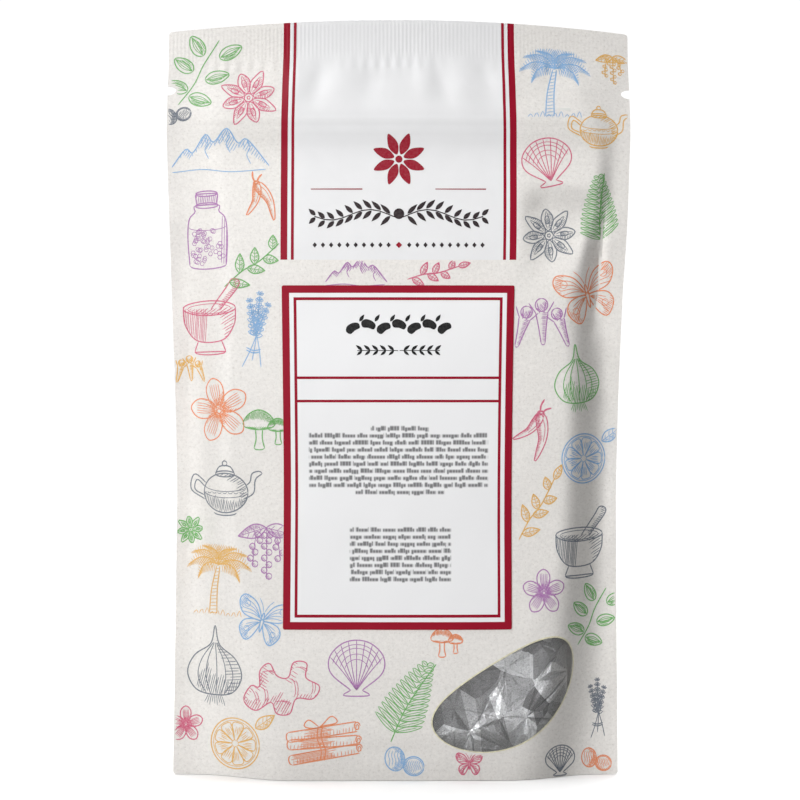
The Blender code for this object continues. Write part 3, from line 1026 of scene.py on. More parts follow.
def add_front_film(material):
    """Front panel, with its notches and window."""
    sheet = thickened(flat_sheet(panel_outline(), window_outline(), film_grid(), RIM_CLEARANCE))
    return finish_piece("front_film", sheet, in_front(0.0, FILM), material, ["front_panel"])


def add_back_film(material):
    """Back panel, with its notches."""
    sheet = thickened(flat_sheet(panel_outline(), [], film_grid(), RIM_CLEARANCE))
    bmesh.ops.reverse_faces(sheet, faces=sheet.faces)

    def place(s, t, layer):
        return formed(s, back_face(s, t) - layer * FILM, t)

    return finish_piece("back_film", sheet, place, material, ["back_panel"])


def even_grid(left, right, foot, top, cell):
    """Mesh points over a rectangle."""
    columns = np.linspace(left, right, max(2, round((right - left) / cell) + 1))
    rows = np.linspace(foot, top, max(2, round((top - foot) / cell) + 1))
    return np.array([(s, t) for t in rows for s in columns])


def grid_over(outline, cell):
    """Mesh points over the rectangle that holds an outline."""
    left, foot = np.min(outline, axis=0)
    right, top = np.max(outline, axis=0)
    return even_grid(left, right, foot, top, cell)


def add_label(material):
    """The label sits on the film and rounds over it, with softly rounded corners."""
    turns = [math.radians(angle) for angle in (0, 30, 60, 90)]
    radius = 0.5
    half = LABEL_HALF_WIDTH - radius
    rise = [(half + radius * math.sin(a), LABEL_FOOT + radius - radius * math.cos(a)) for a in turns]
    fall = [(s, LABEL_FOOT + LABEL_TOP - t) for s, t in reversed(rise)]
    right = rise + fall
    loop = divided(right + [(-s, t) for s, t in reversed(right)], CELL)
    grid = even_grid(-LABEL_HALF_WIDTH, LABEL_HALF_WIDTH, LABEL_FOOT, LABEL_TOP, CELL)
    sheet = thickened(flat_sheet(loop, [], grid, RIM_CLEARANCE))
    place = in_front(LABEL_LIFT + LABEL_THICKNESS, LABEL_THICKNESS)
    return finish_piece("label", sheet, place, material, ["front_label"])


def add_pane(material):
    """Clear pane behind the window."""
    outline = window_outline(PANE_MARGIN)
    sheet = thickened(flat_sheet(outline, [], grid_over(outline, 1.5), 0.6))
    place = in_front(-FILM - PANE_GAP, PANE)
    return finish_piece("window_film", sheet, place, material, ["window_pane"])


def seal_height(s):
    """Height of the curved seal between the gusset and the panels."""
    return GUSSET_MIDDLE_SEAL + GUSSET_END_RISE * (np.abs(s) / GUSSET_HALF_WIDTH) ** 6


def gusset_point(s, share, layer):
    """Depth and height on the gusset at a share from -1, its front foot, to 1, its back foot.

    The outer fifth at each side is the skirt sealed to the panel, and the rest is the floor.
    """
    side = np.sign(share)
    seal = seal_height(s)
    front, back = -front_depth(s, seal) + GUSSET_GAP, back_depth(s, seal) - GUSSET_GAP
    half = (back - front) / 2
    up = np.clip((1 - np.abs(share)) / GUSSET_SKIRT, 0, 1)
    skirt_depth = side * (panel_depth(s, up * seal, side) - GUSSET_GAP - GUSSET_FILM * layer)
    floor = np.clip(share / GUSSET_FLOOR, -1, 1)
    sag = GUSSET_SAG * half * (1 - floor * floor)
    pleat = 0.25 * np.sin(s / 2.3 + 2 * np.sin(s / 11)) * floor**4
    pleat = pleat * smooth_step((1 - np.abs(floor)) / 0.25)
    low = np.maximum(0.05, seal - 0.45 - sag + pleat)
    on_skirt = np.abs(share) > GUSSET_FLOOR
    depth = np.where(on_skirt, skirt_depth, (front + back) / 2 + floor * (half - GUSSET_FILM * layer))
    height = np.where(on_skirt, up * seal - 0.2 * layer * up, low + 0.2 * (1 - layer))
    return depth, height


def add_gusset(material):
    """Gusset film, sealed up inside both panels and opened to a boat shape."""
    sheet = bmesh.new()
    bmesh.ops.create_grid(sheet, x_segments=150, y_segments=60, size=1)
    bmesh.ops.reverse_faces(sheet, faces=sheet.faces)
    thickened(sheet)

    def place(x, y, layer):
        s = x * GUSSET_HALF_WIDTH
        depth, height = gusset_point(s, y, layer)
        return formed(s, depth, height)

    return finish_piece("gusset_film", sheet, place, material, ["bottom_gusset"])


def scattered(left, right, foot, top, cell, choose):
    """Mesh points over a rectangle, unevenly spread."""
    grid = even_grid(left, right, foot, top, cell)
    return grid + choose.uniform(-0.38, 0.38, grid.shape) * cell


class CreaseNet:
    """Flat facets between scattered corners at uneven heights, like crushed foil."""

    def __init__(self, cell, seed):
        choose = np.random.default_rng(seed)
        reach = BAG_HALF_WIDTH + cell
        self.corners = scattered(-reach, reach, -cell, BAG_TOP + cell, cell, choose)
        found = delaunay_2d_cdt([tuple(point) for point in self.corners], [], [], 0, 1e-5)
        self.edges = found[1]
        self.faces = found[2]
        self.heights = choose.uniform(0, 1, len(self.corners))

    def height(self, s, t):
        """Height of the facets at points of the flat bag."""
        total = np.zeros(len(s))
        for face in self.faces:
            a, b, c = self.corners[face]
            across = (b[0] - a[0]) * (c[1] - a[1]) - (c[0] - a[0]) * (b[1] - a[1])
            u = ((s - a[0]) * (c[1] - a[1]) - (c[0] - a[0]) * (t - a[1])) / across
            v = ((b[0] - a[0]) * (t - a[1]) - (s - a[0]) * (b[1] - a[1])) / across
            held = (u >= -1e-6) & (v >= -1e-6) & (u + v <= 1 + 1e-6)
            first, second, third = self.heights[face]
            total[held] = (first + (second - first) * u + (third - first) * v)[held]
        return total


def bag_foot(s):
    """Height of the foil bag's foot, just over the sagging gusset."""
    seal = seal_height(s)
    return np.maximum(0, seal - 0.6 - GUSSET_SAG * space_depth(s, seal)) + 1.2


def bag_depths(s, t, nets, flat_t):
    """Depths of the foil bag's front and back, which fill the pouch but for their creases."""

    def rounded(x):
        """A share that rises as a quarter circle."""
        x = np.clip(x, 0, 1)
        return np.sqrt(x * (2 - x))

    foot = bag_foot(s)
    swell = rounded((t - foot) / 14) * rounded((BAG_TOP - t) / 12)
    swell = swell * rounded((BAG_HALF_WIDTH - np.abs(s)) / 10)
    crush = 0.4 + 6.2 * nets[0].height(s, flat_t) + 0.75 * nets[1].height(s, flat_t)
    found = []
    for side, depth in ((-1, -front_face(s, t) - FILM), (1, back_face(s, t) - FILM)):
        room = depth - BAG_CLEARANCE - crush
        found.append(side * (0.2 + np.maximum(0, room) * swell))
    return found


def add_foil_bag(material):
    """Crushed foil bag that holds the contents: large facets broken into small ones."""
    nets = (CreaseNet(LARGE_FACET, 12), CreaseNet(SMALL_FACET, 8))
    half = BAG_HALF_WIDTH
    outline = divided([(-half, 0), (half, 0), (half, BAG_TOP), (-half, BAG_TOP)], SMALL_FACET)
    sheet = thickened(flat_sheet(outline, [], nets[1].corners, 0.5, nets[0]))

    def place(s, t, layer):
        foot = bag_foot(s)
        height = foot + (BAG_TOP - foot) * t / BAG_TOP
        front, back = bag_depths(s, height, nets, t)
        return formed(s, np.where(layer < 0.5, front, back), height)

    return finish_piece("foil_bag", sheet, place, material, ["inner_foil_bag"], smooth=False)


# Pen strokes, in millimetres round each motif's middle: a stroke is its points and its width

PEN = 0.34
MIDDLE_PEN = 0.26
SLOPE_PEN = 0.24
FINE_PEN = 0.20
SHORTEST_HATCH = 0.25


def arc(x, y, across, up, start=0, end=360, turn=0, steps=0):
    """Part of an ellipse, by angles in degrees."""
    steps = steps or max(6, int(abs(end - start) / 12 * max(1, (across + up) / 8)))
    angles = np.radians(np.linspace(start, end, steps + 1))
    px, py = across * np.cos(angles), up * np.sin(angles)
    turn = math.radians(turn)
    right = x + px * math.cos(turn) - py * math.sin(turn)
    high = y + px * math.sin(turn) + py * math.cos(turn)
    return np.stack([right, high], 1)


def flowing(*points, closed=False, steps=7):
    """A smooth curve through points."""
    points = np.asarray(points, float)
    if closed:
        padded = np.concatenate([points[-1:], points, points[:2]])
    else:
        padded = np.concatenate([[2 * points[0] - points[1]], points, [2 * points[-1] - points[-2]]])
    found = []
    for a, b, c, d in zip(padded, padded[1:], padded[2:], padded[3:]):
        slope, bend, twist = c - a, 2 * a - 5 * b + 4 * c - d, 3 * b - a - 3 * c + d
        for w in np.arange(steps) / steps:
            found.append(0.5 * (2 * b + slope * w + bend * w**2 + twist * w**3))
    found.append(padded[-2])
    return np.array(found)


def closed_curve(*points, steps=7):
    """A smooth closed curve through points."""
    return flowing(*points, closed=True, steps=steps)


def bent(width, *points, steps=7):
    """A stroke along a smooth curve."""
    return flowing(*points, steps=steps), width


def straight(width, *points):
    """A stroke along straight lines."""
    return np.array(points, float), width


def mirrored(stroke):
    """A stroke turned over from top to bottom."""
    return stroke[0] * [1, -1], stroke[1]


def shaded_part(outline, angle, pitch, low=0.0, high=1.0, seed=1):
    """Hatching over part of an outline: each line runs from a low to a high share of its chord."""
    choose = random.Random(seed)
    turn = math.radians(angle)
    along = np.array([math.cos(turn), math.sin(turn)])
    across = np.array([-along[1], along[0]])
    u, v = outline @ along, outline @ across
    strokes = []
    level = v.min() + pitch * 0.5
    while level < v.max():
        crossings = []
        for i in range(len(outline)):
            j = (i + 1) % len(outline)
            if (v[i] > level) != (v[j] > level):
                crossings.append(u[i] + (level - v[i]) * (u[j] - u[i]) / (v[j] - v[i]))
        crossings.sort()
        for start, end in zip(crossings[::2], crossings[1::2]):
            span = end - start
            first = start + span * max(0.0, low + choose.uniform(-0.06, 0.06))
            last = start + span * min(1.0, high + choose.uniform(-0.06, 0.06))
            if last - first > SHORTEST_HATCH:
                tip = along * last + across * (level + choose.uniform(-0.1, 0.1))
                strokes.append(straight(FINE_PEN, along * first + across * level, tip))
        level += pitch * choose.uniform(0.8, 1.2)
    return strokes


def moved(strokes, x=0.0, y=0.0, turn=0.0, size=1.0, flip=False):
    """Strokes scaled, turned and moved."""
    turn = math.radians(turn)
    spin = np.array([[math.cos(turn), -math.sin(turn)], [math.sin(turn), math.cos(turn)]])
    found = []
    for points, width in strokes:
        points = points * [-1, 1] if flip else points
        found.append(((points * size) @ spin.T + [x, y], width))
    return found


def leaf(length, breadth, veins=4):
    """A pointed leaf from the origin along +x, with its veins and a shaded half."""
    t = np.linspace(0, 1, 13)
    upper = np.stack([t * length, breadth * np.sin(math.pi * t**0.85) * (1 - 0.25 * t)], 1)
    lower = upper[::-1] * [1, -1]
    strokes = [(upper, PEN), (lower, PEN), straight(FINE_PEN, (0, 0), (length, 0))]
    for i in range(veins):
        x = length * (0.18 + 0.62 * i / max(1, veins - 1))
        reach = breadth * math.sin(math.pi * (x / length) ** 0.85) * 0.75
        strokes += [straight(FINE_PEN, (x, 0), (x + reach * 0.8, side * reach)) for side in (1, -1)]
    half = np.concatenate([lower, [[0, 0], [length, 0]]])
    return strokes + shaded_part(half, 60, 0.62, 0.0, 0.8, seed=int(length * 7))


def star_fruit():
    """Star anise: eight boat-shaped pods round a middle, each with a seed."""
    strokes = []
    for i in range(8):
        length = 10.5 if i % 2 else 9.2
        pod = closed_curve((1.6, 0), (4.4, 1.9), (7.0, 1.8), (length, 0.2), (7.0, -1.8), (4.4, -1.9))
        slit = bent(FINE_PEN, (2.4, 0.2), (5, 0.8), (8.4, 0.1))
        seed = arc(5.4, 0, 1.5, 0.75)
        parts = [(pod, PEN), slit, mirrored(slit), (seed, PEN)]
        parts += shaded_part(seed, 20, 0.4, 0, 0.7, i) + shaded_part(pod, 78, 0.55, 0.0, 0.33, i + 5)
        strokes += moved(parts, turn=i * 45 + 8)
    return strokes + [(arc(0, 0, 1.5, 1.5), PEN), (arc(0, 0, 0.6, 0.6), PEN)]


def nutmeg():
    """A whole nutmeg and a cut half with wavy veins."""
    whole = arc(-5.2, 1.5, 5.6, 6.8, turn=12)
    half = arc(5.6, -2.6, 6.0, 5.4, turn=-8)
    strokes = [(whole, PEN), (half, PEN), (arc(5.6, -2.6, 5.2, 4.6, turn=-8), FINE_PEN)]
    for i in range(7):
        x = 1.6 + i * 1.25
        foot = -6.0 + abs(i - 3) * 0.5
        strokes.append(bent(FINE_PEN, (x, foot), (x + 0.7, -3.6), (x - 0.5, -1.6), (x + 0.6, 0.6)))
    for i in range(5):
        x = -8.6 + i * 1.7
        strokes.append(bent(FINE_PEN, (x, -2.4), (x + 0.5, 0.6), (x - 0.3, 3.4), (x + 0.4, 6.2)))
    strokes += shaded_part(whole, -40, 0.6, 0.62, 1.0, 3) + shaded_part(whole, 35, 0.8, 0.75, 1.0, 4)
    return strokes + shaded_part(half, 40, 0.9, 0.0, 0.25, 6)


def cinnamon():
    """Three rolled bark quills tied together."""
    strokes = []
    body = np.array([[-12, -1.6], [10.5, -1.6], [10.5, 1.6], [-12, 1.6]])
    turns = [(a, 1 - a / 14) for a in np.arange(0, 11, 0.8)]
    coil = bent(PEN, *[(10.6 + 1.1 * math.cos(a) * size, 1.6 * math.sin(a) * size) for a, size in turns])
    for i, (y, turn) in enumerate(((-3.4, 4), (0.4, -2), (3.9, 3))):
        parts = [(body[:2], PEN), (body[2:], PEN), (arc(-12, 0, 0.9, 1.6, 90, 270), PEN), coil]
        parts += shaded_part(body, 1, 0.42, 0.05 + 0.1 * i, 0.62, i + 2)
        parts += shaded_part(body, 80, 1.1, 0, 0.5, i + 9)
        strokes += moved(parts, 0, y, turn)
    for x in (-2.6, -1.2):
        strokes.append(bent(PEN, (x, -5.4), (x + 0.7, -2), (x - 0.2, 2), (x + 0.5, 5.8)))
    bow = bent(PEN, (-2, 5.8), (-5, 8.2), (-6.6, 6.2), (-2, 5.4), (2.4, 8.6), (4.2, 6.4), (-1.6, 5.7))
    return strokes + [bow]


def flower():
    """An open five-petalled flower with veined petals and a ring of stamens."""
    strokes = []
    petal = closed_curve((0.8, 0), (3.2, 2.7), (7.6, 3.1), (10.2, 0.2), (7.8, -2.7), (3.2, -2.4))
    for i in range(5):
        parts = [(petal, PEN)]
        for bend in (-1.5, -0.7, 0.1, 0.9, 1.6):
            parts.append(bent(FINE_PEN, (1.4, bend * 0.2), (4.6, bend * 0.9), (8.2, bend)))
        parts += shaded_part(petal, 10, 0.5, 0.0, 0.28, i)
        strokes += moved(parts, turn=90 + i * 72)
    strokes += [(arc(0, 0, 1.7, 1.7), PEN), (arc(0, -0.3, 0.8, 0.8), PEN)]
    for i in range(12):
        c, d = math.cos(math.tau * i / 12), math.sin(math.tau * i / 12)
        strokes.append(straight(FINE_PEN, (1.1 * c, 1.1 * d), (2.6 * c, 2.6 * d)))
    return strokes


def chilli():
    """Two curved peppers on a stalk."""
    outer = ((0, 1.9), (5, 2.9), (11, 1.6), (17, -2.0), (19.5, -4.6))
    pod = closed_curve(*outer, (15.6, -3.6), (10, -1.8), (4.6, -2.2), (0, -1.9))
    strokes = []
    for turn, size in ((-68, 1.0), (-112, 0.82)):
        parts = [(pod, PEN), bent(FINE_PEN, (1.6, 0.9), (6, 1.5), (11.6, 0.2))]
        parts += shaded_part(pod, 84, 0.55, 0.0, 0.42, 4) + shaded_part(pod, 62, 0.9, 0.0, 0.22, 6)
        parts.append(bent(PEN, (0, 1.9), (-1.6, 1.2), (-1.9, -0.8), (0, -1.9)))
        parts.append(bent(PEN * 1.5, (-1.8, 0), (-4.2, 0.6), (-6.6, 2.4)))
        strokes += moved(parts, 0, 7.5, turn, size)
    return strokes


def cardamom():
    """A stalk of ribbed pods."""
    strokes = [bent(PEN, (-8, -11), (-3, -4), (0, 3), (5, 11))]
    left = ((-8.5, -4.5, 155), (-1.0, -9.5, -20), (-6.5, 3.2, 140))
    right = ((4.4, -1.8, 12), (-2.2, 9.4, 120), (8.6, 6.6, 25))
    pod = closed_curve((-3.8, 0), (-2, 2), (1.4, 2), (4.2, 0), (1.4, -2), (-2, -2))
    for x, y, turn in left + right:
        parts = [(pod, PEN)]
        parts += [bent(FINE_PEN, (-3.6, 0), (0, bend), (3.9, 0)) for bend in (-1.1, -0.4, 0.4, 1.1)]
        parts += shaded_part(pod, 0, 0.42, 0.1, 0.8, turn % 9)[:5]
        strokes += moved(parts, x, y, turn)
    return strokes


def cloves():
    """Three cloves with their crowned heads."""
    strokes = []
    for x, y, turn, size in ((-6.4, -0.6, 74, 0.86), (0.2, 1.2, 94, 0.94), (6.8, -0.8, 112, 0.82)):
        stem = bent(PEN, (-8.4, 0.7), (-2, 1.5), (2.4, 2.3))
        outline = np.concatenate([stem[0], stem[0][::-1] * [1, -1]])
        head = arc(5.1, 0, 2.3, 2.3)
        parts = [stem, mirrored(stem), (arc(-8.4, 0, 0.5, 0.7, 90, 270), PEN), (head, PEN)]
        for side in (3.4, 1.2, -1.2, -3.4):
            parts.append(bent(PEN, (2.2, side * 0.6), (4.2, side * 1.02), (6.0, side * 1.35)))
        parts += shaded_part(outline, 86, 0.5, 0.0, 0.55, 3) + shaded_part(head, 40, 0.5, 0.0, 0.6, 4)
        strokes += moved(parts, x, y, turn, size)
    return strokes


def bay_sprig():
    """A curved sprig with pointed leaves."""
    stem = flowing((-12, -9), (-5, -3), (2, 1), (11, 9))
    strokes = [(stem, PEN)]
    for i, (x, y) in enumerate(stem[[2, 6, 9, 12, 15, 18]]):
        side = 1 if i % 2 else -1
        strokes += moved(leaf(8.2 - 0.5 * i, 1.9), x, y, 40 + side * 48)
    return strokes + moved(leaf(7, 1.7), 10.6, 8.6, 40)


def fern():
    """A fern frond of small leaflets."""
    strokes = [bent(PEN, (-2, -13), (-1, -4), (1.2, 4), (4, 12))]
    for i in range(13):
        y = -10 + i * 1.72
        x = -1.6 + 0.2 * i + 0.006 * i * i
        length = 7.4 * (1 - (i / 13.5) ** 1.6) + 0.8
        for side in (1, -1):
            blade = closed_curve((0, 0), (length * 0.4, 0.85), (length, 0.1), (length * 0.5, -0.6))
            rib = straight(FINE_PEN, (0.2, 0), (length * 0.8, 0.1))
            strokes += moved([(blade, MIDDLE_PEN), rib], x, y, 90 - side * 62)
    return strokes


def ginger():
    """A knobbed root with rings."""
    upper = ((-12, -2), (-9, 2.2), (-6.4, 1.6), (-5.6, 6.4), (-2.4, 8.2), (-0.6, 4.2), (2.8, 3.2), (5, 7.4))
    right = ((9, 6.6), (8.2, 2.4), (12, -0.8), (9.4, -4.2), (4.4, -3.4))
    lower = ((1.8, -7.6), (-2.2, -7.0), (-3.4, -3.4), (-8.6, -5.4))
    outline = closed_curve(*upper, *right, *lower)
    strokes = [(outline, PEN)]
    left_rings = ((-9, -1.4, 2.6, 10), (-6, -1.2, 2.8, -5), (-3.2, 5.2, 2.0, 80), (0, -4.6, 2.4, 70))
    right_rings = ((3.4, 0, 3.0, 0), (6.8, 4.8, 1.9, 60), (9.0, -0.8, 2.3, -10))
    for x, y, size, turn in left_rings + right_rings:
        strokes.append((arc(x, y, size * 0.4, size, -70, 70, turn), FINE_PEN))
        strokes.append((arc(x + 0.8, y, size * 0.4, size * 0.9, -60, 50, turn), FINE_PEN))
    strokes += shaded_part(outline, 52, 0.75, 0.0, 0.3, 8)
    return strokes + shaded_part(outline, 140, 1.0, 0.78, 1.0, 9)


def garlic():
    """A garlic bulb with its neck and roots."""
    right = ((1.4, 6.6), (6.4, 3.0), (8.4, -2.0), (5.6, -6.8))
    left = [(-x, y) for x, y in reversed(right)]
    bulb = closed_curve((0, 12), *right, (0, -8.0), *left)
    strokes = [(bulb, PEN)]
    for bend in (-5.2, -2.8, 0.6, 3.4, 5.6):
        strokes.append(bent(MIDDLE_PEN, (bend * 0.1, 7), (bend * 0.8, 2), (bend, -3), (bend * 0.5, -7.8)))
    for i in range(9):
        tip = (-3.2 + i * 0.8, -10.2 - (i % 3) * 0.4)
        strokes.append(bent(FINE_PEN, (-2 + i * 0.5, -7.9), (-2.6 + i * 0.65, -9.2), tip))
    return strokes + shaded_part(bulb, 76, 0.62, 0.02, 0.42, 5)[:22] + shaded_part(bulb, 8, 0.9, 0.74, 1.0, 6)


def mortar():
    """A mortar with its pestle."""
    bowl = flowing((-8.6, 3.6), (-8.0, -1.6), (-4.2, -6.2), (4.2, -6.2), (8.0, -1.6), (8.6, 3.6))
    outline = np.concatenate([bowl, [[8.6, 3.6], [-8.6, 3.6]]])
    strokes = [(bowl, PEN), (arc(0, 3.6, 8.6, 2.2), PEN), (arc(0, 3.4, 7.2, 1.5), FINE_PEN)]
    strokes.append(straight(PEN, (-4.0, -6.3), (-5.4, -9.6), (5.4, -9.6), (4.0, -6.3)))
    strokes.append((arc(0, -9.6, 5.4, 0.9, 180, 360), PEN))
    pestle = flowing((0.6, 3.2), (5.6, 9.4), (7.6, 12.2), (9.8, 11.6), (9.0, 9.2), (3.6, 2.8))
    strokes += [(pestle, PEN)] + shaded_part(pestle, 20, 0.5, 0.5, 1.0, 2)
    strokes += shaded_part(outline, 84, 0.55, 0.0, 0.95, 3)[16:]
    return strokes + shaded_part(outline, 30, 0.8, 0.66, 1.0, 4)


def berries():
    """Hanging strings of round peppercorns under two leaves."""
    choose = random.Random(5)
    strokes = moved(leaf(12, 3.0), 0, 9, 196) + moved(leaf(12, 3.0), 0, 9, -14)
    for x, count in ((-5.4, 6), (0.3, 8), (5.8, 5)):
        strokes.append(bent(FINE_PEN, (x * 0.2, 9.2), (x * 0.8, 4.6), (x, 8.6 - 2.4 * count)))
        for i in range(count):
            side = 1 if i % 2 else -1
            across = x * min(1, 0.45 + i * 0.2) + side * 0.95
            ring = arc(across, 6.2 - i * 2.3 + choose.uniform(-0.2, 0.2), 1.25, 1.25, steps=12)
            strokes += [(ring, PEN * 0.85)] + shaded_part(ring, 40, 0.5, 0.0, 0.5, i)
    return strokes


def citrus():
    """A citrus slice and a leaf."""
    strokes = [(arc(-1, 0, 9, 9), PEN), (arc(-1, 0, 8.1, 8.1), FINE_PEN)]
    wedge = closed_curve((1.0, 0), (4.8, 1.9), (7.2, 1.9), (7.6, 0), (7.2, -1.9), (4.8, -1.9))
    for i in range(9):
        parts = [(wedge, MIDDLE_PEN)] + shaded_part(wedge, 0, 0.62, 0.3, 0.75, i)[:5]
        strokes += moved(parts, -1, 0, i * 40)
    return strokes + moved(leaf(8.5, 2.3), 6.6, 6.2, 35)


def lavender():
    """Three stems of lavender tied with a string."""
    bud = closed_curve((0, 0), (0.62, 1.0), (0, 2.2), (-0.62, 1.0), steps=4)
    strokes = []
    for lean, lift in ((17, -1.0), (0, 1.0), (-16, -1.6)):
        parts = [bent(MIDDLE_PEN, (0, -10), (0.4, -3), (0, 9.5))]
        for row in range(6):
            for turn in (64, 24, -24, -64):
                parts += moved([(bud, MIDDLE_PEN)], 0, row * 1.9, turn, 1 - row * 0.09)
        strokes += moved(parts, 0, lift, lean)
    return strokes + [bent(PEN, (-2.2, y), (0, y - 0.6), (2.2, y)) for y in (-5.4, -6.1)]


def teapot():
    """A round teapot with a curved spout."""
    body = arc(0, -1.5, 8.2, 6.6)
    strokes = [(body, PEN), (arc(0, 4.9, 3.6, 1.0), PEN)]
    strokes.append(bent(PEN, (-3.4, 5.2), (-1.8, 7.4), (1.8, 7.4), (3.4, 5.2)))
    strokes.append((arc(0, 8.4, 0.9, 0.9), PEN))
    strokes.append(bent(PEN, (7.2, -3.4), (10.2, -1.4), (10.8, 3.0), (13.2, 5.0)))
    strokes.append(bent(PEN, (7.6, 1.0), (9.0, 2.4), (9.6, 5.0), (12.2, 5.8), (13.2, 5.0)))
    strokes.append(bent(PEN, (-7.4, 1.6), (-12, 4.4), (-13.2, -0.8), (-8.0, -4.0)))
    strokes.append(bent(PEN, (-7.8, 0.2), (-11, 2.6), (-11.8, -0.8), (-8.2, -2.6)))
    strokes.append((arc(0, -1.5, 8.0, 1.6, 180, 360), FINE_PEN))
    strokes.append((arc(0, 0.6, 7.8, 1.6, 180, 360), FINE_PEN))
    strokes.append((arc(0, -8.2, 4.2, 0.8, 180, 360), PEN))
    for i in range(7):
        strokes += moved([(arc(0, 0, 0.9, 0.9, 200, 340), FINE_PEN)], -6 + i * 2, -0.9)
    return strokes + shaded_part(body, 78, 0.62, 0.03, 0.34, 7) + shaded_part(body, 30, 0.8, 0.8, 1.0, 8)


def butterfly():
    """A butterfly with spotted wings."""
    upper = closed_curve((0.6, 1.8), (4, 7.4), (9.6, 9.6), (11.4, 6.4), (8.4, 1.6), (0.8, 0.4))
    lower = closed_curve((0.7, 0), (7.0, -0.4), (9.0, -4.4), (5.8, -8.8), (2.8, -6.6))
    spots = [(arc(7.8, 6.0, 1.3, 1.3), FINE_PEN), (arc(5.8, -4.2, 1.2, 1.2), FINE_PEN)]
    parts = [(upper, PEN), (lower, PEN)] + spots
    for bend in (2.4, 4.2, 6.2, 8.2):
        parts.append(bent(FINE_PEN, (0.8, 1.2), (4.6, bend * 0.6 + 1.0), (9.6, bend)))
        parts.append(bent(FINE_PEN, (0.8, -0.4), (3.6, -bend * 0.4), (6.6, -bend)))
    parts += shaded_part(upper, 35, 0.6, 0.72, 1.0, 3) + shaded_part(lower, -50, 0.6, 0.7, 1.0, 4)
    parts.append(bent(FINE_PEN, (0.2, 4), (1.4, 7), (3.2, 9.4)))
    body = closed_curve((0, -4.6), (0.7, 0), (0, 4.2), (-0.7, 0))
    return [(body, PEN)] + moved(parts) + moved(parts, flip=True)


def jar():
    """A corked glass jar of peppercorns."""
    left = ((-6, -10), (-6.4, -2), (-5.8, 4), (-3.8, 6.2), (-3.8, 8))
    body = flowing(*left, *[(-x, y) for x, y in reversed(left)], steps=5)
    strokes = [(body, PEN), (arc(0, -10, 6, 1.2, 180, 360), PEN), (arc(0, 8, 3.8, 0.8), PEN)]
    cork = np.array([[-3.2, 8.2], [-3.6, 11.6], [3.6, 11.6], [3.2, 8.2]])
    strokes += [(cork, PEN), (arc(0, 11.6, 3.6, 0.8), PEN)] + shaded_part(cork, 80, 0.6, 0.1, 0.9, 2)
    choose = random.Random(8)
    for _ in range(46):
        x, y = choose.uniform(-5.0, 5.0), choose.uniform(-9.6, 0.6)
        strokes.append((arc(x, y, 0.75, 0.75, steps=7), FINE_PEN))
    strokes.append((arc(0, 1.6, 6, 1.1, 180, 360), FINE_PEN))
    return strokes + shaded_part(body, 88, 0.7, 0.0, 1.0, 4)[:3]


def shell():
    """A ribbed scallop shell."""
    left = ((-2, -7.6), (-8.8, -2), (-9.4, 3.4), (-5.4, 7.8))
    strokes = [bent(PEN, *left, (0, 9.2), *[(-x, y) for x, y in reversed(left)])]
    for i in range(9):
        a = math.radians(20 + i * 17.5)
        tip = (9.6 * math.cos(a), 0.4 + 8.8 * math.sin(a))
        strokes.append(bent(MIDDLE_PEN, (0, -7.6), (tip[0] * 0.5, -2.4 + tip[1] * 0.2), tip))
    for size in (0.45, 0.62, 0.8, 0.92):
        strokes.append((arc(0, -2 + 1.8 * size, 9.2 * size, 8.8 * size, 12, 168), FINE_PEN))
    return strokes + [bent(PEN, (-2, -7.6), (-4.4, -9.4), (4.4, -9.4), (2, -7.6))]


def mushrooms():
    """Two mushrooms with gills."""
    cap = closed_curve((-7.6, 1.2), (-5.6, 6.2), (0, 8.8), (5.6, 6.2), (7.6, 1.2), (0, -0.6))
    parts = [(cap, PEN)]
    parts.append(bent(PEN, (-1.8, 0), (-1.5, -5), (-2.6, -9.4)))
    parts.append(bent(PEN, (1.8, 0), (1.6, -5), (2.7, -9.4)))
    parts.append((arc(0, -9.4, 2.6, 0.7, 180, 360), PEN))
    for i in range(11):
        gill = -6 + i * 1.2
        parts.append(straight(FINE_PEN, (gill, 0.9 - abs(gill) * 0.02), (gill * 0.35, -0.4)))
    parts += shaded_part(cap, 70, 0.6, 0.5, 1.0, 3) + shaded_part(cap, 20, 0.9, 0.8, 1.0, 4)
    return moved(parts, -3.4) + moved(parts, 6.0, -1, 0, 0.66)


def palm():
    """A palm with a bending trunk and drooping fronds."""
    trunk_left = flowing((-2.2, -13), (-1.4, -5), (0.6, 3))
    trunk_right = flowing((0.6, -13), (0.8, -5), (1.8, 3))
    strokes = [(trunk_left, PEN), (trunk_right, PEN)]
    strokes += [straight(FINE_PEN, low, high + [0, 0.4]) for low, high in zip(trunk_left, trunk_right)]
    right = ((64, 7.5, False), (34, 10, False), (8, 11, False), (-14, 8.5, False))
    left = ((66, 7.5, True), (36, 10, True), (10, 11, True), (-12, 8.5, True))
    for lift, length, flip in right + left:
        rib = flowing((0, 0), (length * 0.35, 1.2), (length * 0.7, 0.4), (length, -2.6), steps=5)
        parts = [(rib, PEN)]
        for i in range(2, len(rib)):
            size = 2.6 * math.sin(math.pi * min(1, 0.18 + i / len(rib) * 0.8))
            for side in (1, -1):
                parts.append(straight(FINE_PEN, rib[i], rib[i] + [0.9 * size * 0.6, side * size - 0.5]))
        strokes += moved(moved(parts, turn=lift), 1.3, 3.4, flip=flip)
    for i in range(9):
        x = -8 + i * 2
        strokes.append(bent(FINE_PEN, (x, -13.4), (x + 1, -12.4 + (i % 3) * 0.5), (x + 1.6, -13.4)))
    return strokes


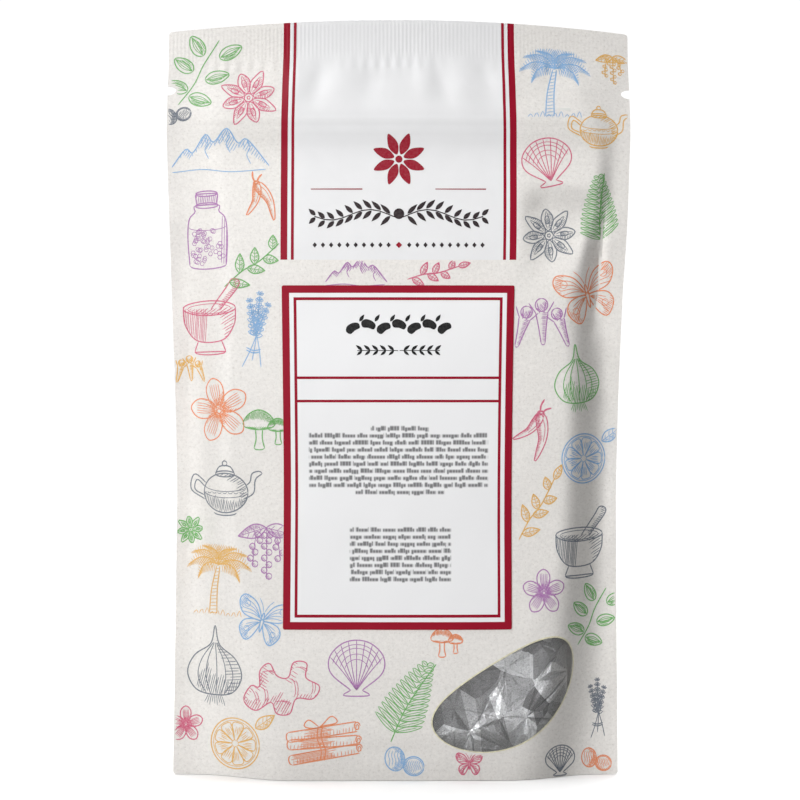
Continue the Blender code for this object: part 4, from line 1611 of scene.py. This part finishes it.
def hills():
    """A range of hills with shaded slopes."""
    peaks = ((-4.4, 5.6), (2.2, 7.4), (8.4, 4.0))
    left = ((-15, -4), (-10.6, 1.4), (-8.4, 0.2))
    ridge = flowing(*left, peaks[0], (-1.8, 3.2), peaks[1], (5.6, 2.8), peaks[2], (15, -4), steps=4)
    outline = np.concatenate([ridge, [[15, -4.5], [-15, -4.5]]])
    strokes = [(ridge, PEN)]
    strokes += shaded_part(outline, 58, 0.75, 0.66, 1.0, 3) + shaded_part(outline, 104, 1.3, 0.8, 1.0, 5)
    for x, y in peaks:
        strokes.append(bent(SLOPE_PEN, (x, y), (x + 0.8, y - 2.6), (x - 0.2, y - 4.6), (x + 1.0, y - 7.4)))
    return strokes + [bent(SLOPE_PEN, (-15, -5.6), (-6, -4.9), (3, -5.8), (14, -5.1))]


# Motif, ink, s, t, turn in degrees and size, on the front film
FRONT_PRINT = (
    (cardamom, "ink_green", -55, 197, 0, 0.86),
    (star_fruit, "ink_pink", -42, 189, 10, 0.82),
    (hills, "ink_blue", -50, 173.5, 0, 0.92),
    (chilli, "ink_orange", -38.5, 160.5, 16, 0.56),
    (jar, "ink_violet", -54, 151.5, 0, 0.92),
    (bay_sprig, "ink_green", -40.5, 142.5, 0, 0.72),
    (lavender, "ink_blue", -40.5, 124, -8, 0.94),
    (mortar, "ink_pink", -54, 127, 0, 0.92),
    (flower, "ink_orange", -51.5, 102.0, 12, 0.88),
    (mushrooms, "ink_green", -38.0, 97.0, 0, 0.58),
    (teapot, "ink_slate", -50, 80.5, 0, 0.82),
    (berries, "ink_violet", -38.0, 63.5, 0, 0.70),
    (palm, "ink_ochre", -53, 56.5, 0, 0.84),
    (butterfly, "ink_blue", -39, 44.0, -14, 0.66),
    (garlic, "ink_slate", -53, 30.5, 0, 0.98),
    (ginger, "ink_pink", -33.5, 25.5, 8, 0.92),
    (citrus, "ink_ochre", -46, 9.5, 0, 0.80),
    (shell, "ink_violet", -12, 31.5, 0, 0.82),
    (cinnamon, "ink_orange", -20.5, 10.5, 6, 0.86),
    (fern, "ink_green", 3.5, 22.5, -18, 0.98),
    (nutmeg, "ink_blue", 1.5, 5.4, 0, 0.50),
    (hills, "ink_violet", -12, 139.6, 0, 0.58),
    (bay_sprig, "ink_pink", 10, 139.8, -24, 0.52),
    (palm, "ink_blue", 42.8, 195.0, 0, 0.86),
    (teapot, "ink_ochre", 56.0, 181.0, 0, 0.66),
    (shell, "ink_pink", 41.5, 171.0, 12, 0.72),
    (fern, "ink_green", 57.0, 158.0, 14, 0.80),
    (star_fruit, "ink_slate", 42.5, 150.5, 0, 0.82),
    (butterfly, "ink_orange", 54.5, 134.0, 18, 0.80),
    (cloves, "ink_violet", 41.0, 126.0, 0, 0.84),
    (garlic, "ink_green", 52.0, 110.5, 6, 0.82),
    (chilli, "ink_pink", 40.0, 96.0, -16, 0.64),
    (citrus, "ink_blue", 55.4, 88.6, 0, 0.76),
    (bay_sprig, "ink_ochre", 40.8, 75.0, 20, 0.68),
    (mortar, "ink_slate", 53.5, 64.5, 0, 0.86),
    (flower, "ink_violet", 42.5, 52.0, 0, 0.62),
    (cardamom, "ink_green", 58.5, 44.5, 0, 0.70),
    (mushrooms, "ink_orange", 14.0, 38.6, 0, 0.42),
    (lavender, "ink_slate", 59.0, 18.5, 0, 0.74),
    (berries, "ink_ochre", 60.5, 199.0, 0, 0.42),
    (nutmeg, "ink_orange", 58.5, 4.2, 0, 0.40),
    (shell, "ink_slate", 47.5, 4.8, 0, 0.46),
    (butterfly, "ink_pink", 20.5, 4.6, 0, 0.34),
    (nutmeg, "ink_slate", -62.5, 184.5, 30, 0.36),
    (cloves, "ink_ochre", -60.5, 113.5, 0, 0.46),
    (star_fruit, "ink_green", -61.0, 68.5, 0, 0.42),
    (flower, "ink_pink", -61.5, 14.0, 0, 0.50),
)
BACK_PRINT = (
    (teapot, "ink_blue", -50, 192, 0, 0.9),
    (star_fruit, "ink_pink", -24, 190, 0, 0.9),
    (palm, "ink_green", 0, 188, 0, 0.95),
    (hills, "ink_violet", 27, 192, 0, 1.0),
    (garlic, "ink_ochre", 52, 190, 0, 0.95),
    (bay_sprig, "ink_orange", -36, 166, 0, 1.0),
    (jar, "ink_slate", -12, 160, 0, 1.0),
    (flower, "ink_pink", 14, 162, 0, 0.95),
    (cinnamon, "ink_ochre", 42, 166, 10, 1.0),
    (mortar, "ink_green", -56, 150, 0, 0.95),
    (shell, "ink_blue", 36, 148, 0, 0.8),
    (fern, "ink_green", 56, 146, 0, 0.9),
    (chilli, "ink_pink", -53, 126, 0, 0.8),
    (butterfly, "ink_orange", 53, 122, 12, 0.85),
    (lavender, "ink_violet", -53, 101, 0, 0.95),
    (cardamom, "ink_green", 54, 97, 0, 0.85),
    (citrus, "ink_ochre", -54, 76, 0, 0.85),
    (cloves, "ink_slate", 53, 73, 0, 0.85),
    (mushrooms, "ink_blue", -53, 52, 0, 0.85),
    (berries, "ink_pink", 52, 48, 0, 0.85),
    (ginger, "ink_orange", -40, 26, 0, 1.0),
    (nutmeg, "ink_violet", -14, 30, 0, 0.95),
    (bay_sprig, "ink_green", 12, 27, 0, 1.0),
    (star_fruit, "ink_blue", 38, 22, 0, 0.9),
    (hills, "ink_pink", -52, 8, 0, 0.8),
    (shell, "ink_ochre", -22, 8, 0, 0.75),
    (teapot, "ink_slate", 4, 8, 0, 0.6),
    (flower, "ink_orange", 22, 6, 0, 0.6),
    (garlic, "ink_violet", 56, 12, 0, 0.75),
)


def spaced(points, step):
    """A polyline with points at even steps."""
    lengths = np.linalg.norm(np.diff(points, axis=0), axis=1)
    total = np.concatenate([[0], np.cumsum(lengths)])
    count = max(2, int(math.ceil(total[-1] / step)) + 1)
    at = np.linspace(0, total[-1], count)
    return np.stack([np.interp(at, total, points[:, 0]), np.interp(at, total, points[:, 1])], axis=1)


def on_film(points):
    """Where a panel may be printed: clear of its edges and notches."""
    s, t = points[:, 0], points[:, 1]
    found = (np.abs(s) < HALF_WIDTH - PRINT_MARGIN) & (t > PRINT_MARGIN) & (t < HEIGHT - PRINT_MARGIN)
    for side, height in ((1, RIGHT_NOTCH), (-1, LEFT_NOTCH)):
        found &= np.hypot(s - side * HALF_WIDTH, t - height) > NOTCH_DEPTH + 0.2
    return found


def on_front_paper(points):
    """Where the front film's paper look is bare and may be printed."""
    s, t = points[:, 0], points[:, 1]
    found = on_film(points) & ~((np.abs(s) < BAND_HALF_WIDTH + 0.2) & (t > BAND_FOOT - 0.2))
    under = (np.abs(s) < LABEL_HALF_WIDTH - PRINT_MARGIN) & (t > LABEL_FOOT + PRINT_MARGIN)
    found &= ~(under & (t < LABEL_TOP - PRINT_MARGIN))
    return found & ~inside(points, window_outline(0.7, 60))


def on_back_paper(points):
    """Where the back film may be printed with pictures."""
    s, t = points[:, 0], points[:, 1]
    within = (np.abs(s) < BACK_BOX_HALF_WIDTH + PRINT_MARGIN) & (t > BACK_BOX_FOOT - PRINT_MARGIN)
    return on_film(points) & ~(within & (t < BACK_BOX_TOP + PRINT_MARGIN))


def clipped(strokes, allowed):
    """Strokes at even steps, cut where ink isn't allowed."""
    found = []
    for points, width in strokes:
        points = spaced(points, 0.7)
        keep = allowed(points)
        start = 0
        while start < len(points):
            if not keep[start]:
                start += 1
                continue
            end = start
            while end < len(points) and keep[end]:
                end += 1
            if end - start > 1:
                found.append((points[start:end], width))
            start = end
    return found


def ribbons(shape, strokes, layer):
    """Pen strokes as flat ribbons, all extruded from their lines in one go."""
    number = shape.verts.layers.int.new("number")
    targets = []
    starts = []
    edges = []
    for points, width in strokes:
        forward = np.gradient(points, axis=0)
        forward = forward / np.maximum(np.linalg.norm(forward, axis=1, keepdims=True), 1e-9)
        aside = np.stack([-forward[:, 1], forward[:, 0]], axis=1)
        swell = np.full((len(points), 1), width / 2)
        swell[0] *= 0.45
        swell[-1] *= 0.45
        line = []
        for low, high in zip(points - aside * swell, points + aside * swell):
            vert = shape.verts.new((*low, layer))
            vert[number] = len(targets)
            targets.append((*high, layer))
            line.append(vert)
        starts += line
        edges += [shape.edges.new(pair) for pair in zip(line, line[1:])]
    bmesh.ops.extrude_edge_only(shape, edges=edges)
    first = set(starts)
    for vert in shape.verts:
        if vert not in first:
            vert.co = targets[vert[number]]


def face_towards(shape, front):
    """Turns every flat face to look out of the panel that carries it."""
    bmesh.ops.delete(shape, geom=[face for face in shape.faces if face.calc_area() < 1e-7], context="FACES")
    for face in shape.faces:
        face.normal_update()
        if (face.normal.z > 0) != front:
            face.normal_flip()


def joined(whole, part):
    """Adds one bmesh to another."""
    mesh = bpy.data.meshes.new("part")
    part.to_mesh(mesh)
    part.free()
    whole.from_mesh(mesh)
    bpy.data.meshes.remove(mesh)


def on_panel(lift):
    """Forms ink on its panel: layer 0 lies on the front film and layer 1 on the back film."""

    def place(s, t, layer):
        depth = np.where(layer < 0.5, front_face(s, t) - lift, back_face(s, t) + lift)
        return formed(s, depth, t)

    return place


def add_prints():
    """The pictures on both panels, one piece for each ink."""
    lines = {name: ([], []) for name in INKS}
    for panel, prints, allowed in ((0, FRONT_PRINT, on_front_paper), (1, BACK_PRINT, on_back_paper)):
        for motif, ink, s, t, turn, size in prints:
            strokes = moved(motif(), s, t, turn, size)
            lines[ink][panel].extend(clipped(strokes, allowed))
    for name, colour in INKS.items():
        whole = bmesh.new()
        for panel in (0, 1):
            part = bmesh.new()
            ribbons(part, lines[name][panel], panel)
            face_towards(part, panel == 0)
            joined(whole, part)
        material = ink_material(name, colour)
        finish_piece(name, whole, on_panel(INK_LIFT), material, smooth=False)


def filled(shape, outline):
    """A filled flat shape with mesh points inside, so that it can follow the film."""
    loop = [tuple(point) for point in outline]
    loop = loop[:-1] if math.dist(loop[0], loop[-1]) < 1e-6 else loop
    loop = divided(loop, 1.2)
    part = flat_sheet(loop, [], grid_over(loop, 1.0), 0.4)
    face_towards(part, True)
    joined(shape, part)


def turned_loop(loop, x, y, turn, size=1.0):
    """A loop scaled, turned and moved."""
    return moved([(np.asarray(loop, float), 0)], x, y, turn, size)[0][0]


def leaf_loop(length, breadth):
    """Outline of a plain leaf from the origin along +x."""
    t = np.linspace(0, 1, 9)
    upper = np.stack([t * length, breadth * np.sin(math.pi * t**0.8)], 1)
    return np.concatenate([upper, (upper[1:-1] * [1, -1])[::-1]])


def bar(low, high, half_thickness):
    """A thin four-cornered bar between two points at its middle height."""
    under = [(low[0], low[1] - half_thickness), (high[0], high[1] - half_thickness)]
    return under + [(high[0], high[1] + half_thickness), (low[0], low[1] + half_thickness)]


def lozenge(across, up, x, y):
    """A small diamond."""
    return turned_loop([(across, 0), (0, up), (-across, 0), (0, -up)], x, y, 0)


def add_emblem():
    """A red star-shaped seed pod between two fine rules, high on the white band."""
    shape = bmesh.new()
    pod = closed_curve((1.5, 0), (3.6, 1.35), (5.8, 1.25), (8.1, 0.1), (5.8, -1.25), (3.6, -1.35))
    for i in range(8):
        filled(shape, turned_loop(pod, 0, EMBLEM_HEIGHT, i * 45 + 22.5, 0.94))
    for low, high in ((-24.6, -10.2), (10.2, 24.4)):
        filled(shape, [(low, 163.1), (high, 163.05), (high, 163.4), (low, 163.35)])
    filled(shape, arc(0, EMBLEM_HEIGHT, 1.0, 1.0))
    filled(shape, lozenge(0.9, 0.9, 0, LOZENGE_HEIGHT))
    material = ink_material("ink_crimson", CRIMSON, 0.08)
    finish_piece("ink_crimson", shape, on_panel(INK_LIFT), material)


def garland_height(i):
    """Height of the garland's stem at its pair of leaves with this number."""
    return GARLAND_HEIGHT + 1.5 * math.sin(i * 0.75)


def add_garland():
    """A dark leafy garland and a row of small lozenges under the emblem."""
    shape = bmesh.new()
    for side in (-1, 1):
        for i in range(9):
            x = side * (2.4 + i * 2.62)
            y = garland_height(i)
            for up in (1, -1):
                heading = up * (90 - side * 46)
                filled(shape, turned_loop(leaf_loop(3.9 - 0.16 * i, 0.62), x, y + 0.3 * up, heading))
            filled(shape, bar((x - side * 2.5, garland_height(i - 1)), (x + side * 0.3, y), 0.16))
    filled(shape, arc(0, GARLAND_HEIGHT + 0.3, 1.5, 1.5))
    for i in range(1, 11):
        for side in (-1, 1):
            filled(shape, lozenge(0.62, 0.75, side * (0.6 + i * 2.3), LOZENGE_HEIGHT))
    material = ink_material("ink_umber", light_of(40, 28, 32), 0.08)
    finish_piece("ink_umber", shape, on_panel(INK_LIFT), material)


def add_label_ornaments():
    """Black ornaments in the label's upper box: a row of pods and leaves, and a finer scroll."""
    shape = bmesh.new()
    upper = ((-1.9, 0.1), (-1.1, 1.15), (0.6, 1.25), (1.9, 0.5))
    pod = closed_curve(*upper, (1.7, -0.7), (0.3, -0.75), (-1.2, -1.0))
    for i in range(-3, 4):
        x = i * 4.35
        filled(shape, turned_loop(pod, x, POD_ROW_HEIGHT + 0.5 * (-1) ** i, 28 if i % 2 else -18, 1.08))
        if i < 3:
            filled(shape, turned_loop(leaf_loop(2.4, 0.5), x + 1.9, POD_ROW_HEIGHT + 1.4, 55))
    for side in (-1, 1):
        for i in range(5):
            x = side * (1.4 + i * 2.25)
            filled(shape, turned_loop(leaf_loop(2.3, 0.42), x, SCROLL_HEIGHT + 0.1, 90 - side * 52))
            filled(shape, turned_loop(leaf_loop(2.0, 0.38), x, SCROLL_HEIGHT - 0.1, -90 + side * 52))
        filled(shape, bar((side * 0.2, SCROLL_HEIGHT), (side * 11.8, SCROLL_HEIGHT), 0.1)[::side])
    place = on_panel(LABEL_LIFT + LABEL_THICKNESS + INK_LIFT)
    material = ink_material("ink_black", light_of(14, 14, 16), 0.06)
    finish_piece("ink_black", shape, place, material)


def add_window_edge():
    """The pale cut edge of the window, turned a little outwards."""
    shape = bmesh.new()
    rings = []
    for margin in (0.16, -0.22):
        verts = [shape.verts.new((*point, 0)) for point in window_outline(margin, 160)]
        rings += [shape.edges.new((a, b)) for a, b in zip(verts, verts[1:] + verts[:1])]
    bmesh.ops.bridge_loops(shape, edges=rings)
    face_towards(shape, True)
    material, tree, shader = new_material("cut_edge")
    worn = ranged(tree, noise(tree, flat_millimetres(tree), 0.8, 3, 0.6), 0.35, 0.65)
    colour = blended(tree, worn, light_of(236, 232, 200), light_of(206, 200, 172))
    tree.links.new(colour, shader.inputs["Base Color"])
    set_finish(shader, Roughness=0.5)
    finish_piece("window_edge", shape, on_panel(0.06), material, smooth=False)


# Studio


def add_floor():
    """A plain pale floor."""
    sheet = bmesh.new()
    bmesh.ops.create_grid(sheet, x_segments=1, y_segments=1, size=3)
    mesh = bpy.data.meshes.new("floor")
    sheet.to_mesh(mesh)
    sheet.free()
    material, tree, shader = new_material("floor")
    place = tree.nodes.new("ShaderNodeTexCoord")
    soft = noise(tree, place.outputs["Object"], 2.0)
    pale = blended(tree, soft, (0.93, 0.93, 0.93, 1), (0.96, 0.96, 0.96, 1))
    path = tree.nodes.new("ShaderNodeLightPath")
    direct = reckon(tree, "MAXIMUM", path.outputs["Is Camera Ray"], path.outputs["Is Glossy Ray"])
    shade = blended(tree, direct, (0.26, 0.26, 0.26, 1), pale)
    far = tree.nodes.new("ShaderNodeVectorMath")
    far.operation = "LENGTH"
    tree.links.new(place.outputs["Object"], far.inputs[0])
    bright = ranged(tree, far.outputs["Value"], 0.28, 0.52)
    bright = reckon(tree, "MULTIPLY", bright, path.outputs["Is Camera Ray"])
    tree.links.new(blended(tree, bright, shade, (0, 0, 0, 1)), shader.inputs["Base Color"])
    set_finish(shader, Roughness=0.9, Specular_IOR_Level=0.1, Emission_Color=(1.05, 1.05, 1.05, 1))
    tree.links.new(bright, shader.inputs["Emission Strength"])
    mesh.materials.append(material)
    floor = bpy.data.objects.new("floor", mesh)
    floor.location.z = -0.0001
    bpy.context.scene.collection.objects.link(floor)


def add_light(name, place, target, size, power):
    """A rectangular soft light turned to its target."""
    data = bpy.data.lights.new(name, "AREA")
    data.shape = "RECTANGLE"
    data.size, data.size_y = size
    data.energy = power
    light = bpy.data.objects.new(name, data)
    light.location = place
    aim = np.array(target) - np.array(place)
    turn = math.atan2(aim[0], -aim[1])
    tip = math.atan2(math.hypot(aim[0], aim[1]), -aim[2])
    light.rotation_euler = (tip, 0, math.pi + turn)
    bpy.context.scene.collection.objects.link(light)


def add_studio():
    """Big soft light from the front left, an overhead one on the floor, and a white surround."""
    add_light("key", (-0.90, -1.53, 0.66), (0, 0, 0.10), (0.8, 0.9), 30.6)
    add_light("floor_light", (0, 0.55, 1.0), (0, 0.55, 0), (1.2, 1.7), 26.0)
    world = bpy.data.worlds.new("surround")
    world.use_nodes = True
    tree = world.node_tree
    tree.nodes.clear()
    path = tree.nodes.new("ShaderNodeLightPath")
    seen = tree.nodes.new("ShaderNodeBackground")
    seen.inputs["Color"].default_value = (1, 1, 1, 1)
    seen.inputs["Strength"].default_value = 1.05
    lit = tree.nodes.new("ShaderNodeBackground")
    lit.inputs["Color"].default_value = (1, 1, 1, 1)
    place = tree.nodes.new("ShaderNodeTexCoord")
    cards = ranged(tree, noise(tree, place.outputs["Generated"], 1.7, 2, 0.6), 0.44, 0.56, 0.0, 0.8)
    strength = blended(tree, path.outputs["Is Glossy Ray"], (0.10, 0.10, 0.10, 1), cards)
    tree.links.new(strength, lit.inputs["Strength"])
    mix = tree.nodes.new("ShaderNodeMixShader")
    out = tree.nodes.new("ShaderNodeOutputWorld")
    tree.links.new(path.outputs["Is Camera Ray"], mix.inputs[0])
    tree.links.new(lit.outputs[0], mix.inputs[1])
    tree.links.new(seen.outputs[0], mix.inputs[2])
    tree.links.new(mix.outputs[0], out.inputs["Surface"])
    bpy.context.scene.world = world
    bpy.context.scene.view_settings.view_transform = "Standard"


def add_camera():
    """Level camera square to the front."""
    data = bpy.data.cameras.new("camera")
    data.sensor_width = 36
    data.lens = 108.6
    camera = bpy.data.objects.new("camera", data)
    camera.location = (0.0003, -0.6765, 0.1048)
    camera.rotation_euler = (math.pi / 2, 0, 0)
    bpy.context.scene.collection.objects.link(camera)
    bpy.context.scene.camera = camera


def main():
    """Dresses the part and lights it."""
    front = film_material("front_film", True)
    back = film_material("back_film", False)
    add_front_film(front)
    add_back_film(back)
    add_gusset(front)
    add_pane(pane_material())
    add_foil_bag(foil_material())
    add_label(label_material())
    add_window_edge()
    add_prints()
    add_emblem()
    add_garland()
    add_label_ornaments()
    plastic = zip_material()
    for name in ("zip_groove", "zip_rib"):
        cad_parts[name].data.materials.clear()
        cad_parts[name].data.materials.append(plastic)
    add_floor()
    add_studio()
    add_camera()


main()
